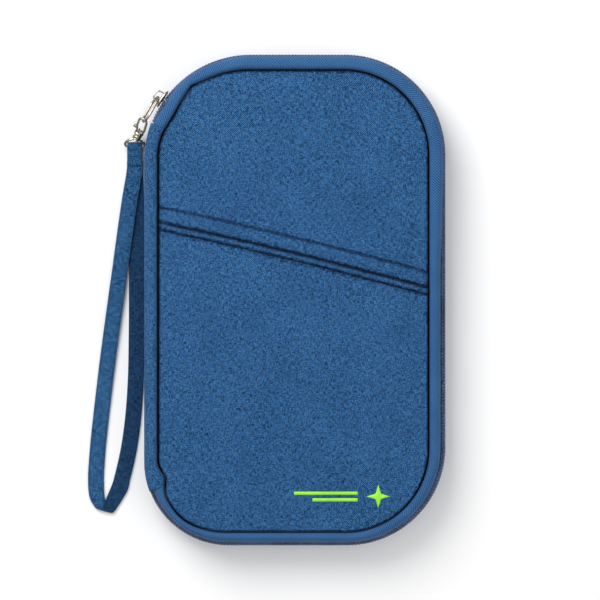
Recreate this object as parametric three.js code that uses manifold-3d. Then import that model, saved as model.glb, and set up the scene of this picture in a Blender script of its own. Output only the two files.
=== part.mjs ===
// Zip-around passport holder with a wrist strap, closed and lying on its back cover.
// Millimetres, +Z up. The origin is the centre of the back cover's outer face; +Y runs to the top edge
// and the spine is at -X.

import * as THREE from "three";
import { mergeVertices } from "three/addons/utils/BufferGeometryUtils.js";
import Module from "manifold-3d";

const wasm = await Module();
wasm.setup();

// ---- driving dimensions -------------------------------------------------------------------------

const WIDTH = 147; // spine to opening edge
const LENGTH = 240; // top to bottom edge
const THICKNESS = 25; // closed
const CORNER = { topLeft: 52, topRight: 49, bottomRight: 48, bottomLeft: 41 };
const MID_Z = THICKNESS / 2; // the plane where the two covers part

const PANEL_INSET = 7; // the covers' seam, in from the outline
const FABRIC = 1.2; // outer fabric with its backing
const GAP = 0.35; // between neighbours that touch

const SPINE_TOP_Y = 84.4;
const SPINE_BOTTOM_Y = -91.2;
const FOLD_X = -69.5; // both fold lines of the spine
const FOLD_HEIGHT = 4; // of each fold line above the cover's outer face

const COIL_HEIGHT = 1.7; // one row of teeth, along Z
const COIL_DEPTH = 1.6; // in from the outline
const ROW_SPLIT = 1.8; // room between the two rows for the slider's bridge
const BAND_START = THREE.MathUtils.degToRad(20); // past the spine's end, on both left corners
const BAND_STEPS = 60;

const SLIDER_ANGLE = THREE.MathUtils.degToRad(35); // on the top left corner, up from -X
const SLIDER_LENGTH = 9.5;
const SLIDER_HEIGHT = 6.4;

const WIRE = 0.6; // radius of the puller ring's wire
const RING_LENGTH = 16;
const RING_WIDTH = 7.6;
const RING_TILT = THREE.MathUtils.degToRad(15); // leans off the vertical
const RING_HEADING = THREE.MathUtils.degToRad(237.5); // seen from above

const HANG = 0.7; // the hook rides this far below the ring's middle
const LINK_PLAY = 0.75;
const CLASP_DROP = new THREE.Vector3(-4.4, -11.4, -9.4); // hook to strap bar
const CLASP_TWIST = THREE.MathUtils.degToRad(12);
const STRAP_WIDTH = 7.8;
const STRAP_THICKNESS = 1.1;

// The wrist strap's middle line, from the bar down the inner leg, round and back up the outer leg.
const STRAP_ROUTE = [
  [-79.0, 68.6, 0.75],
  [-79.0, 64.0, 0.75],
  [-78.7, 56.0, 0.7],
  [-78.4, 45.0, 0.65],
  [-78.2, 30.0, 0.65],
  [-78.1, 10.0, 0.65],
  [-78.2, -15.0, 0.65],
  [-78.7, -40.0, 0.65],
  [-80.2, -60.0, 0.65],
  [-82.6, -76.0, 0.65],
  [-86.0, -90.0, 0.65],
  [-88.6, -97.3, 0.65],
  [-93.2, -101.0, 0.65],
  [-97.3, -97.6, 0.65],
  [-98.3, -90.0, 0.65],
  [-97.4, -73.5, 0.65],
  [-95.9, -58.8, 0.75],
  [-94.2, -44.1, 1.0],
  [-92.4, -29.4, 1.35],
  [-89.8, -10.0, 1.8],
  [-87.0, 10.0, 2.15],
  [-84.0, 32.0, 2.3],
  [-81.4, 50.0, 2.35],
  [-79.1, 64.0, 2.35],
  [-79.0, 68.6, 2.35],
];
const STRAP_STEPS = 96;

const COLOURS = {
  fabric: 0x33608f,
  tape: 0x3f6da3,
  coil: 0x1c2f52,
  lining: 0x24405f,
  padding: 0x9aa3ad,
  board: 0x8f8574,
  nickel: 0xc9c7c1,
  print: 0x9cf03c,
  elastic: 0x1d2a3d,
};

// ---- materials ----------------------------------------------------------------------------------

function cloth(colour) {
  return new THREE.MeshStandardMaterial({ color: colour, roughness: 0.9, metalness: 0 });
}

function plastic(colour) {
  return new THREE.MeshStandardMaterial({ color: colour, roughness: 0.5, metalness: 0 });
}

function nickel() {
  return new THREE.MeshStandardMaterial({ color: COLOURS.nickel, roughness: 0.25, metalness: 1 });
}

// ---- geometry helpers ---------------------------------------------------------------------------

const group = new THREE.Group();

function addPart(name, geometry, material, parent = group) {
  const mesh = new THREE.Mesh(geometry, material);
  mesh.name = name;
  parent.add(mesh);
  return mesh;
}

// The four corner arcs of an outline set in from the holder's own, counter-clockwise from the right.
function corners(inset) {
  const right = WIDTH / 2;
  const top = LENGTH / 2;
  const quarter = Math.PI / 2;
  const corner = (sx, sy, radius, start) => ({
    x: sx * (right - radius),
    y: sy * (top - radius),
    radius: radius - inset,
    start,
    end: start + quarter,
  });
  return {
    topRight: corner(1, 1, CORNER.topRight, 0),
    topLeft: corner(-1, 1, CORNER.topLeft, quarter),
    bottomLeft: corner(-1, -1, CORNER.bottomLeft, 2 * quarter),
    bottomRight: corner(1, -1, CORNER.bottomRight, 3 * quarter),
  };
}

function outlineShape(inset) {
  const shape = new THREE.Shape();
  for (const arc of Object.values(corners(inset))) {
    shape.absarc(arc.x, arc.y, arc.radius, arc.start, arc.end, false);
  }
  return shape;
}

function slab(shape, lowZ, highZ, curveSegments = 7) {
  const settings = { depth: highZ - lowZ, bevelEnabled: false, curveSegments };
  return new THREE.ExtrudeGeometry(shape, settings).translate(0, 0, lowZ);
}

function box(low, high) {
  const size = high.map((value, i) => value - low[i]);
  const middle = high.map((value, i) => (value + low[i]) / 2);
  return new THREE.BoxGeometry(...size).translate(...middle);
}

// A polygon in X and Z, run along Y.
function alongY(points, lowY, highY) {
  const shape = new THREE.Shape(points.map(([x, z]) => new THREE.Vector2(x, z)));
  const settings = { depth: highY - lowY, bevelEnabled: false };
  return new THREE.ExtrudeGeometry(shape, settings).rotateX(Math.PI / 2).translate(0, highY, 0);
}

function toSolid(geometry) {
  const bare = geometry.clone();
  bare.deleteAttribute("normal");
  bare.deleteAttribute("uv");
  const merged = mergeVertices(bare, 1e-4);
  const mesh = new wasm.Mesh({
    numProp: 3,
    vertProperties: merged.attributes.position.array,
    triVerts: new Uint32Array(merged.index.array),
  });
  return new wasm.Manifold(mesh);
}

function toGeometry(solid) {
  const mesh = solid.getMesh();
  const geometry = new THREE.BufferGeometry();
  geometry.setAttribute("position", new THREE.BufferAttribute(mesh.vertProperties, 3));
  geometry.setIndex(new THREE.BufferAttribute(mesh.triVerts, 1));
  geometry.computeVertexNormals();
  return geometry;
}

function joined(...geometries) {
  const solids = geometries.map(toSolid);
  return toGeometry(solids.reduce((whole, next) => whole.add(next)));
}

function common(geometry, other) {
  return toGeometry(toSolid(geometry).intersect(toSolid(other)));
}

// The outline from the spine's bottom end round the bottom, right and top edges to its top end.
class BandPath extends THREE.Curve {
  constructor(inset, z, start = BAND_START) {
    super();
    const { bottomLeft, bottomRight, topRight, topLeft } = corners(inset);
    const first = { ...bottomLeft, start: bottomLeft.start + start };
    const last = { ...topLeft, end: topLeft.end - start };
    const arcs = [first, bottomRight, topRight, last];
    const path = new THREE.Path();
    for (const arc of arcs) path.absarc(arc.x, arc.y, arc.radius, arc.start, arc.end, false);
    this.path = path;
    this.z = z;
  }

  getPoint(t, target = new THREE.Vector3()) {
    const point = this.path.getPoint(t);
    return target.set(point.x, point.y, this.z);
  }
}

// A closed section of [inward distance, height] points, swept round the band.
function band(section, steps = BAND_STEPS) {
  const shape = new THREE.Shape(section.map(([inward, z]) => new THREE.Vector2(-z, inward)));
  return new THREE.ExtrudeGeometry(shape, { steps, extrudePath: new BandPath(0, 0) });
}

// The same section turned over, for the back cover.
function mirrored(section) {
  return section.map(([inward, z]) => [inward, THICKNESS - z]).reverse();
}

function rodShape(radius, sides = 8) {
  const points = [];
  for (let i = 0; i < sides; i += 1) {
    const angle = (i / sides) * 2 * Math.PI;
    points.push(new THREE.Vector2(radius * Math.cos(angle), radius * Math.sin(angle)));
  }
  return new THREE.Shape(points);
}

function rod(curve, radius, steps, sides = 8) {
  return new THREE.ExtrudeGeometry(rodShape(radius, sides), { steps, extrudePath: curve });
}

// ---- zip: tapes and teeth -----------------------------------------------------------------------

const ROW_LOW = MID_Z + ROW_SPLIT / 2;
const ROW_HIGH = ROW_LOW + COIL_HEIGHT;
const TAPE_OUT = COIL_DEPTH + GAP;
const TAPE_THICKNESS = 0.9;

const coilSection = [
  [0, ROW_LOW],
  [0, ROW_HIGH],
  [COIL_DEPTH, ROW_HIGH],
  [COIL_DEPTH, ROW_LOW],
];

// From the teeth up the side, then rolling in to the seam.
const tapeSection = [
  [TAPE_OUT, ROW_LOW],
  [TAPE_OUT, ROW_HIGH + 0.5],
  [1.0, ROW_HIGH + 1.6],
  [1.0, ROW_HIGH + 3.6],
  [2.6, THICKNESS - 2.6],
  [PANEL_INSET - GAP, THICKNESS - 0.9],
  [PANEL_INSET - GAP, THICKNESS - 0.9 - TAPE_THICKNESS],
  [3.4, THICKNESS - 3.5],
  [1.9, ROW_HIGH + 3.2],
  [1.9, ROW_HIGH + 2.0],
  [TAPE_OUT + TAPE_THICKNESS, ROW_HIGH + 0.7],
  [TAPE_OUT + TAPE_THICKNESS, ROW_LOW],
];

// Bias binding over the raw seam inside.
const bindingSection = [
  [PANEL_INSET + 1.2, 19.0],
  [PANEL_INSET - 1.2, 19.0],
  [PANEL_INSET - 1.2, 21.6],
  [PANEL_INSET + 1.2, 21.6],
];

addPart("back_zip_tape", band(mirrored(tapeSection)), cloth(COLOURS.tape));
addPart("front_zip_tape", band(tapeSection), cloth(COLOURS.tape));
addPart("back_zip_coil", band(mirrored(coilSection)), plastic(COLOURS.coil));
addPart("front_zip_coil", band(coilSection), plastic(COLOURS.coil));
addPart("back_binding", band(mirrored(bindingSection)), cloth(COLOURS.lining));
addPart("front_binding", band(bindingSection), cloth(COLOURS.lining));

// ---- back cover ---------------------------------------------------------------------------------

const LINING_INSET = PANEL_INSET + 1.6;
const LAYERS = {
  panel: [0, 1.3],
  padding: [1.65, 3.2],
  board: [3.55, 4.9],
  lining: [5.25, 6.0],
};

function layer(name, colour, inset, [low, high]) {
  addPart(name, slab(outlineShape(inset), low, high), cloth(colour));
}

const POCKET_LEFT_X = -60.5; // clear of the pen loop

// A flat fabric pocket front, cut from the lining's outline between two heights.
function pocket(lowY, highY, lowZ, highZ) {
  const whole = slab(outlineShape(LINING_INSET + 1), lowZ, highZ);
  return common(whole, box([POCKET_LEFT_X, lowY, lowZ - 1], [WIDTH / 2, highY, highZ + 1]));
}

layer("back_panel", COLOURS.fabric, PANEL_INSET, LAYERS.panel);
layer("back_padding", COLOURS.padding, LINING_INSET, LAYERS.padding);
layer("back_board", COLOURS.board, LINING_INSET, LAYERS.board);
layer("back_lining", COLOURS.lining, LINING_INSET, LAYERS.lining);

const POCKET_BOTTOM_Y = -108;
const POCKET_LAYER = 0.6;
const POCKET_PITCH = POCKET_LAYER + GAP;
const backPockets = [
  ["document_pocket", 92],
  ["boarding_pass_pocket", 55],
  ["passport_pocket", 10],
];
backPockets.forEach(([name, mouthY], i) => {
  const low = LAYERS.lining[1] + GAP + i * POCKET_PITCH;
  const fabric = pocket(POCKET_BOTTOM_Y, mouthY, low, low + POCKET_LAYER);
  addPart(name, fabric, cloth(COLOURS.lining));
});

// ---- front cover --------------------------------------------------------------------------------

function above([low, high]) {
  return [THICKNESS - high, THICKNESS - low];
}

layer("front_padding", COLOURS.padding, LINING_INSET, above(LAYERS.padding));
layer("front_board", COLOURS.board, LINING_INSET, above(LAYERS.board));
layer("front_lining", COLOURS.lining, LINING_INSET, above(LAYERS.lining));

// The slanted mouth of the outside pocket, from the spine side down to the opening edge.
const MOUTH_LEFT_Y = 37.6;
const MOUTH_RIGHT_Y = 5.2;
const MOUTH_OVERLAP = 14; // how far the upper panel runs down behind the pocket's mouth

function mouthY(x) {
  const t = (x + WIDTH / 2 - PANEL_INSET) / (WIDTH - 2 * PANEL_INSET);
  return MOUTH_LEFT_Y + t * (MOUTH_RIGHT_Y - MOUTH_LEFT_Y);
}

// Everything above (or below) a line parallel to the mouth.
function mouthSide(shift, side) {
  const reach = WIDTH;
  const far = side * LENGTH;
  const corner = (x, y) => new THREE.Vector2(x, y);
  const shape = new THREE.Shape([
    corner(-reach, mouthY(-reach) + shift),
    corner(reach, mouthY(reach) + shift),
    corner(reach, far),
    corner(-reach, far),
  ]);
  return slab(shape, -5, THICKNESS + 5);
}

const OUTER_TOP = THICKNESS;
const POCKET_PANEL_LOW = OUTER_TOP - 0.65;
const UPPER_PANEL_HIGH = POCKET_PANEL_LOW - GAP;
const UPPER_PANEL_LOW = UPPER_PANEL_HIGH - 0.6;
const faceOutline = (lowZ, highZ) => slab(outlineShape(PANEL_INSET), lowZ, highZ);

addPart(
  "front_upper_panel",
  common(faceOutline(UPPER_PANEL_LOW, UPPER_PANEL_HIGH), mouthSide(-MOUTH_OVERLAP, 1)),
  cloth(COLOURS.fabric),
);
addPart(
  "front_pocket_lining",
  common(faceOutline(UPPER_PANEL_LOW, UPPER_PANEL_HIGH), mouthSide(-MOUTH_OVERLAP - GAP, -1)),
  cloth(COLOURS.lining),
);
addPart(
  "front_pocket_panel",
  common(faceOutline(POCKET_PANEL_LOW, OUTER_TOP), mouthSide(0, -1)),
  cloth(COLOURS.fabric),
);

// A plain printed mark: a four-pointed compass star beside two bars.
const MARK_Y = -95.5;
const MARK_LOW = OUTER_TOP + 0.02;
const MARK_HIGH = OUTER_TOP + 0.2;
const STAR = { x: 40.5, long: 5.8, short: 1.9 };
const BAR_RIGHT = 30.5;
const BAR_PITCH = 3.2;
const BAR_HEIGHT = 1.6;

function starShape(x, y, { long, short }) {
  const points = [];
  for (let i = 0; i < 8; i += 1) {
    const reach = i % 2 ? short : long;
    const angle = (i / 8) * 2 * Math.PI;
    points.push(new THREE.Vector2(x + reach * Math.cos(angle), y + reach * Math.sin(angle)));
  }
  return new THREE.Shape(points);
}

addPart("mark_star", slab(starShape(STAR.x, MARK_Y, STAR), MARK_LOW, MARK_HIGH), plastic(COLOURS.print));
for (const [name, side, left] of [["mark_bar_upper", 1, -0.5], ["mark_bar_lower", -1, 8.5]]) {
  const middle = MARK_Y + (side * BAR_PITCH) / 2;
  const low = [left, middle - BAR_HEIGHT / 2, MARK_LOW];
  const high = [BAR_RIGHT, middle + BAR_HEIGHT / 2, MARK_HIGH];
  addPart(name, box(low, high), plastic(COLOURS.print));
}

// Card slots, stepped, in the upper half of the inner face.
const SLOT_BOTTOM_Y = 6;
const frontInner = THICKNESS - LAYERS.lining[1] - GAP;
[82, 66, 50].forEach((mouth, i) => {
  const high = frontInner - i * POCKET_PITCH;
  const fabric = pocket(SLOT_BOTTOM_Y, mouth, high - POCKET_LAYER, high);
  addPart(`card_slot_${i + 1}`, fabric, cloth(COLOURS.lining));
});

// Coin pocket with its own short zip, in the lower half.
const COIN_ZIP_Y = -8;
const COIN_ROW = 0.9;
const COIN_SPLIT = 1.1;
const COIN_ZIP_HALF = 52;
const COIN_TAPE_LOW = frontInner - POCKET_LAYER;
const COIN_COIL_LOW = COIN_TAPE_LOW - COIN_ROW;
const COIN_TAPE_WIDTH = 3.2;
const COIN_PANEL_TOP_Y = COIN_ZIP_Y - 5.4;

addPart(
  "coin_pocket_panel",
  pocket(POCKET_BOTTOM_Y, COIN_PANEL_TOP_Y, COIN_TAPE_LOW, frontInner),
  cloth(COLOURS.lining),
);
for (const [name, side] of [["upper", 1], ["lower", -1]]) {
  const rowIn = COIN_ZIP_Y + side * (COIN_SPLIT / 2);
  const rowOut = rowIn + side * COIN_ROW;
  const tapeIn = rowOut + side * GAP;
  const tapeOut = tapeIn + side * COIN_TAPE_WIDTH;
  const span = (a, b) => [Math.min(a, b), Math.max(a, b)];
  const [rowLow, rowHigh] = span(rowIn, rowOut);
  const [tapeLow, tapeHigh] = span(tapeIn, tapeOut);
  const row = box([-COIN_ZIP_HALF, rowLow, COIN_COIL_LOW], [COIN_ZIP_HALF, rowHigh, COIN_TAPE_LOW]);
  const tape = box([-COIN_ZIP_HALF, tapeLow, COIN_TAPE_LOW], [COIN_ZIP_HALF, tapeHigh, frontInner]);
  addPart(`coin_zip_coil_${name}`, row, plastic(COLOURS.coil));
  addPart(`coin_zip_tape_${name}`, tape, cloth(COLOURS.tape));
}

// Its slider: a plate on the teeth with a bridge between the rows, and a loop for the pull tab.
const COIN_SLIDER = { x: -44, halfLength: 3.5, halfWidth: 2, plate: 0.5 };
const COIN_BRIDGE = { halfLength: 1.5, halfWidth: 0.2, overlap: 0.1 };
const COIN_TAB = { start: 4, end: 17, halfWidth: 1.6 }; // from the slider's middle
const coinPlateTop = COIN_COIL_LOW - GAP;
const coinPlateLow = coinPlateTop - COIN_SLIDER.plate;

// A block about the coin zip's line, measured along it from the slider's middle.
function onCoinZip(start, end, halfWidth, lowZ, highZ) {
  const low = [COIN_SLIDER.x + start, COIN_ZIP_Y - halfWidth, lowZ];
  return box(low, [COIN_SLIDER.x + end, COIN_ZIP_Y + halfWidth, highZ]);
}

const coinPlate = onCoinZip(
  -COIN_SLIDER.halfLength,
  COIN_SLIDER.halfLength,
  COIN_SLIDER.halfWidth,
  coinPlateLow,
  coinPlateTop,
);
const coinBridge = onCoinZip(
  -COIN_BRIDGE.halfLength,
  COIN_BRIDGE.halfLength,
  COIN_BRIDGE.halfWidth,
  coinPlateLow + COIN_BRIDGE.overlap,
  COIN_TAPE_LOW,
);
const coinTab = onCoinZip(COIN_TAB.start, COIN_TAB.end, COIN_TAB.halfWidth, coinPlateLow, coinPlateTop);
addPart("coin_slider_body", joined(coinPlate, coinBridge), nickel());
addPart("coin_puller_tab", coinTab, nickel());

// ---- spine --------------------------------------------------------------------------------------

const SPINE_OUT = -WIDTH / 2;
const SPINE_LOW = FOLD_HEIGHT + 2.3;
const SPINE_HIGH = THICKNESS - SPINE_LOW;
const SPINE_MID = (SPINE_TOP_Y + SPINE_BOTTOM_Y) / 2;
const SPINE_LINING = 0.7;

// A strip of the outline's own wall on the spine side, between two insets.
function spineStrip(inset, thickness, shorten) {
  const wall = outlineShape(inset);
  wall.holes.push(outlineShape(inset + thickness));
  const low = [SPINE_OUT - 1, SPINE_BOTTOM_Y + shorten, 0];
  const high = [FOLD_X + 6, SPINE_TOP_Y - shorten, THICKNESS];
  return common(slab(wall, SPINE_LOW, SPINE_HIGH), box(low, high));
}

addPart("spine_panel", spineStrip(0, FABRIC, 0), cloth(COLOURS.fabric));
addPart("spine_lining", spineStrip(FABRIC + GAP, SPINE_LINING, 2), cloth(COLOURS.lining));

// The strip's turned-in edges, which the covers carry past the fold lines.
const turn = [
  [-66.9, 24.7],
  [-69.2, 24.3],
  [-71.3, 22.6],
  [-70.3, 21.9],
  [-68.7, 23.1],
  [-66.9, 23.5],
];
const turnedOver = turn.map(([x, z]) => [x, THICKNESS - z]).reverse();
const TURN_TOP_Y = SPINE_TOP_Y - 2;
const TURN_BOTTOM_Y = SPINE_BOTTOM_Y + 2;
addPart("front_spine_edge", alongY(turn, TURN_BOTTOM_Y, TURN_TOP_Y), cloth(COLOURS.fabric));
addPart("back_spine_edge", alongY(turnedOver, TURN_BOTTOM_Y, TURN_TOP_Y), cloth(COLOURS.fabric));

// Elastic pen loop on the spine's inner side.
const PEN_OUTER = 4.6;
const PEN_INNER = 4.0;
const PEN_X = SPINE_OUT + FABRIC + GAP + SPINE_LINING + GAP + PEN_OUTER;
const PEN_LENGTH = 26;
const penWall = [
  [PEN_INNER, -PEN_LENGTH / 2],
  [PEN_OUTER, -PEN_LENGTH / 2],
  [PEN_OUTER, PEN_LENGTH / 2],
  [PEN_INNER, PEN_LENGTH / 2],
  [PEN_INNER, -PEN_LENGTH / 2],
].map(([x, y]) => new THREE.Vector2(x, y));
const penLoop = new THREE.LatheGeometry(penWall, 20).translate(PEN_X, SPINE_MID + 30, MID_Z);
addPart("pen_loop", penLoop, cloth(COLOURS.elastic));

// ---- slider on the top left corner --------------------------------------------------------------

const { x: CORNER_X, y: CORNER_Y } = corners(0).topLeft;
const halfAngle = SLIDER_LENGTH / 2 / CORNER.topLeft;
const sliderTurn = Math.PI - SLIDER_ANGLE; // counter-clockwise from +X

// A curved wall round the corner's centre.
function curvedWall(inner, outer, lowZ, highZ, half = halfAngle) {
  const shape = new THREE.Shape();
  shape.absarc(CORNER_X, CORNER_Y, outer, sliderTurn - half, sliderTurn + half, false);
  shape.absarc(CORNER_X, CORNER_Y, inner, sliderTurn + half, sliderTurn - half, true);
  return slab(shape, lowZ, highZ, 4);
}

const PLATE_OUT = CORNER.topLeft + 0.9; // the outer plate's inner face
const PLATE_THICKNESS = 0.7;
const PLATE_IN = CORNER.topLeft - TAPE_OUT - TAPE_THICKNESS - 0.6; // the inner plate's outer face
const BRIDGE = 0.5; // half its height
const BRIDGE_OVERLAP = 0.3; // into each plate
const sliderLow = MID_Z - SLIDER_HEIGHT / 2;
const sliderHigh = MID_Z + SLIDER_HEIGHT / 2;
const outerPlate = curvedWall(PLATE_OUT, PLATE_OUT + PLATE_THICKNESS, sliderLow, sliderHigh);
const innerPlate = curvedWall(PLATE_IN - PLATE_THICKNESS, PLATE_IN, sliderLow, sliderHigh);
const bridge = curvedWall(
  PLATE_IN - BRIDGE_OVERLAP,
  PLATE_OUT + BRIDGE_OVERLAP,
  MID_Z - BRIDGE,
  MID_Z + BRIDGE,
  halfAngle / 3,
);
addPart("slider_body", joined(outerPlate, innerPlate, bridge), nickel());

// The bail: a small arch on the outer plate that the ring hangs in.
const BAIL_INSIDE = 3.2;
const BAIL_WALL = 0.7;
const BAIL_HALF_SPAN = 2.3;
const BAIL_WIDTH = 1.8; // along Z
const BAIL_RADIUS = PLATE_OUT + PLATE_THICKNESS + BAIL_INSIDE / 2; // where the ring's wire runs
const outward = new THREE.Vector3(Math.cos(sliderTurn), Math.sin(sliderTurn), 0);
const along = new THREE.Vector3(-outward.y, outward.x, 0);
const cornerCentre = new THREE.Vector3(CORNER_X, CORNER_Y, MID_Z);
const ringPivot = cornerCentre.clone().addScaledVector(outward, BAIL_RADIUS);

function bailGeometry() {
  const crest = BAIL_INSIDE / 2;
  const foot = -crest - 0.05;
  const outer = [
    [-BAIL_HALF_SPAN - BAIL_WALL, foot],
    [-BAIL_HALF_SPAN - BAIL_WALL, crest - 0.4],
    [-BAIL_HALF_SPAN + 0.2, crest + BAIL_WALL],
  ];
  const inner = [
    [-BAIL_HALF_SPAN, foot],
    [-BAIL_HALF_SPAN, crest - 0.6],
    [-BAIL_HALF_SPAN + 0.5, crest],
  ];
  const opposite = (points) => points.map(([x, y]) => [-x, y]);
  const outline = [...outer, ...opposite(outer).reverse(), ...opposite(inner), ...inner.reverse()];
  const shape = new THREE.Shape(outline.map(([x, y]) => new THREE.Vector2(x, y)));
  const settings = { depth: BAIL_WIDTH, bevelEnabled: false };
  return new THREE.ExtrudeGeometry(shape, settings).translate(0, 0, -BAIL_WIDTH / 2);
}

// Its own X runs along the corner and its own Y points outward.
const bailPlace = new THREE.Matrix4().makeBasis(along, outward.clone(), new THREE.Vector3(0, 0, -1));
const bail = addPart("slider_bail", bailGeometry(), nickel());
bail.applyMatrix4(bailPlace.setPosition(ringPivot.clone().addScaledVector(outward, GAP)));

// ---- puller ring --------------------------------------------------------------------------------

const heading = new THREE.Vector3(Math.cos(RING_HEADING), Math.sin(RING_HEADING), 0);
const sideways = new THREE.Vector3(-heading.y, heading.x, 0);
const up = new THREE.Vector3(0, 0, 1);
const lateral = up
  .clone()
  .multiplyScalar(Math.cos(RING_TILT))
  .addScaledVector(sideways, Math.sin(RING_TILT));
const RUN = RING_LENGTH - 2 * WIRE; // between the wire's two end middles
const END_RADIUS = RING_WIDTH / 2 - WIRE;

class RingPath extends THREE.Curve {
  constructor() {
    super();
    const path = new THREE.Path();
    path.absarc(RUN - END_RADIUS, 0, END_RADIUS, -Math.PI / 2, Math.PI / 2, false);
    path.absarc(END_RADIUS, 0, END_RADIUS, Math.PI / 2, Math.PI * 1.5, false);
    path.closePath();
    this.path = path;
  }

  getPoint(t, target = new THREE.Vector3()) {
    const point = this.path.getPoint(t);
    return target.set(point.x, point.y, 0);
  }
}

// A closed loop has to meet itself: the swept rod is cut in two halves that overlap, then joined.
function loopRod(path, radius, steps) {
  class Part extends THREE.Curve {
    constructor(from, to) {
      super();
      this.from = from;
      this.to = to;
    }

    getPoint(t, target = new THREE.Vector3()) {
      return path.getPoint((this.from + t * (this.to - this.from) + 1) % 1, target);
    }
  }
  const first = rod(new Part(0.24, 0.76), radius, steps);
  const second = rod(new Part(-0.26, 0.26), radius, steps);
  return joined(first, second);
}

const ring = addPart("puller_ring", loopRod(new RingPath(), WIRE, 14), nickel());
const ringNormal = new THREE.Vector3().crossVectors(heading, lateral);
ring.applyMatrix4(new THREE.Matrix4().makeBasis(heading, lateral, ringNormal).setPosition(ringPivot));

// ---- lobster clasp ------------------------------------------------------------------------------

const ringEnd = ringPivot.clone().addScaledVector(heading, RUN).addScaledVector(up, -HANG);
const claspAxis = CLASP_DROP.clone().normalize();
const claspLength = CLASP_DROP.length();
const level = new THREE.Vector3(0, 0, 1).cross(claspAxis).normalize();
const raised = new THREE.Vector3().crossVectors(claspAxis, level);
const hookSide = level
  .clone()
  .multiplyScalar(Math.cos(CLASP_TWIST))
  .addScaledVector(raised, Math.sin(CLASP_TWIST));
const hookNormal = new THREE.Vector3().crossVectors(claspAxis, hookSide);
const hookPlace = new THREE.Matrix4().makeBasis(claspAxis, hookSide, hookNormal).setPosition(ringEnd);
const swivelPlace = new THREE.Matrix4().makeBasis(claspAxis, level, raised).setPosition(ringEnd);

const HOOK_WIRE = 0.65;
const EYE = 2.1; // radius of the eye's middle line
const TOP = -(WIRE + HOOK_WIRE + LINK_PLAY); // the hook's crown, along the clasp's axis
const EYE_X = TOP + EYE;
const NECK_X = 5.6;
const COLLAR_END = 9.0;

function turned(points, sides, x) {
  const profile = points.map(([radius, height]) => new THREE.Vector2(radius, height));
  return new THREE.LatheGeometry(profile, sides).rotateZ(-Math.PI / 2).translate(x, 0, 0);
}

// A curve through points in the hook's own plane.
function flatCurve(points) {
  const inPlane = points.map(([x, y]) => new THREE.Vector3(x, y, 0));
  return new THREE.CatmullRomCurve3(inPlane, false, "centripetal");
}

function hookArc() {
  const points = [[NECK_X + 0.6, EYE - 1.0], [NECK_X - 0.8, EYE - 0.05], [EYE_X + 1.6, EYE]];
  for (let i = 0; i <= 8; i += 1) {
    const angle = Math.PI / 2 + (i / 8) * Math.PI;
    points.push([EYE_X + EYE * Math.cos(angle), EYE * Math.sin(angle)]);
  }
  return flatCurve(points);
}

const hookBase = turned(
  [[0, 0], [1.9, 0], [2.4, 0.5], [2.4, 1.4], [1.5, 1.9], [1.5, 2.3], [2.0, 2.6], [2.0, 3.1], [0, 3.1]],
  12,
  NECK_X + 0.3,
);
const hook = addPart("clasp_hook", joined(rod(hookArc(), HOOK_WIRE, 18), hookBase), nickel());
hook.applyMatrix4(hookPlace);

// The sprung gate closes the eye; its thumb lever stands out at the side.
const GATE_WIRE = 0.6;
const gateLine = [
  [NECK_X - 0.1, -EYE + 0.5],
  [3.2, -EYE - 0.1],
  [EYE_X + 0.5, -EYE],
];
const LEVER = { start: 3.4, end: 4.6, reach: 1.7 };
const gateBar = rod(flatCurve(gateLine), GATE_WIRE, 5);
const gateLever = box([LEVER.start, -EYE - LEVER.reach, -GATE_WIRE], [LEVER.end, -EYE, GATE_WIRE]);
const gate = addPart("clasp_gate", joined(gateBar, gateLever), nickel());
gate.applyMatrix4(hookPlace);

// Leaf spring that keeps the gate shut.
const SPRING = { start: 4.2, low: -0.6, high: -0.35, halfWidth: 0.5 };
const springLeaf = box(
  [SPRING.start, SPRING.low, -SPRING.halfWidth],
  [NECK_X - 0.05, SPRING.high, SPRING.halfWidth],
);
const spring = addPart("gate_spring", springLeaf, nickel());
spring.applyMatrix4(hookPlace);

// Swivel: a headed cap behind the collar, and the loop that the strap is sewn round.
const LOOP_HALF = STRAP_WIDTH / 2 + 1.3;
const LOOP_WIRE = 0.7;
const CAP_X = COLLAR_END + GAP;

const LEG = {
  root: 1.4, // past the cap's face, where both legs meet
  rootHalf: 0.2,
  bend: 1.5, // past the root
  bendIn: 0.6, // each bend lies this far inside the bar's end
  overlap: 0.4,
};

// The loop's bar lies level along X, so the strap leaves it square; its legs run back to the cap.
function loopRods(barCentre) {
  const shoulder = ringEnd.clone().addScaledVector(claspAxis, CAP_X + LEG.root);
  const rods = [];
  for (const side of [1, -1]) {
    const end = barCentre.clone().add(new THREE.Vector3(side * LOOP_HALF, 0, 0));
    const past = end.clone().add(new THREE.Vector3(side * LOOP_WIRE, 0, 0));
    const bend = shoulder
      .clone()
      .addScaledVector(level, side * (LOOP_HALF - LEG.bendIn))
      .addScaledVector(claspAxis, LEG.bend);
    const root = shoulder.clone().addScaledVector(level, side * LEG.rootHalf);
    const bendPast = bend.clone().addScaledVector(claspAxis, -LEG.overlap);
    const shoulderEnd = bend.clone().addScaledVector(level, side * (LEG.overlap - 0.1));
    rods.push([barCentre, past], [end, bendPast], [shoulderEnd, root]);
  }
  return rods.map(([from, to]) => rod(new THREE.LineCurve3(from, to), LOOP_WIRE, 1));
}

const barCentre = ringEnd.clone().add(CLASP_DROP);
const cap = turned([[0, 0], [1.7, 0], [2.1, 0.4], [2.1, 1.2], [1.3, 2.2], [0, 2.2]], 12, CAP_X);
cap.applyMatrix4(swivelPlace);
addPart("swivel_loop", joined(cap, ...loopRods(barCentre)), nickel());

// ---- wrist strap --------------------------------------------------------------------------------

const FOLD = {
  tail: 6.5, // from the bar's middle to the end of the fold
  step: 0.9, // the strap's own leg lies on the turned end here
  stepRun: 2.2,
  margin: 0.8, // narrower than the strap
};

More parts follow.
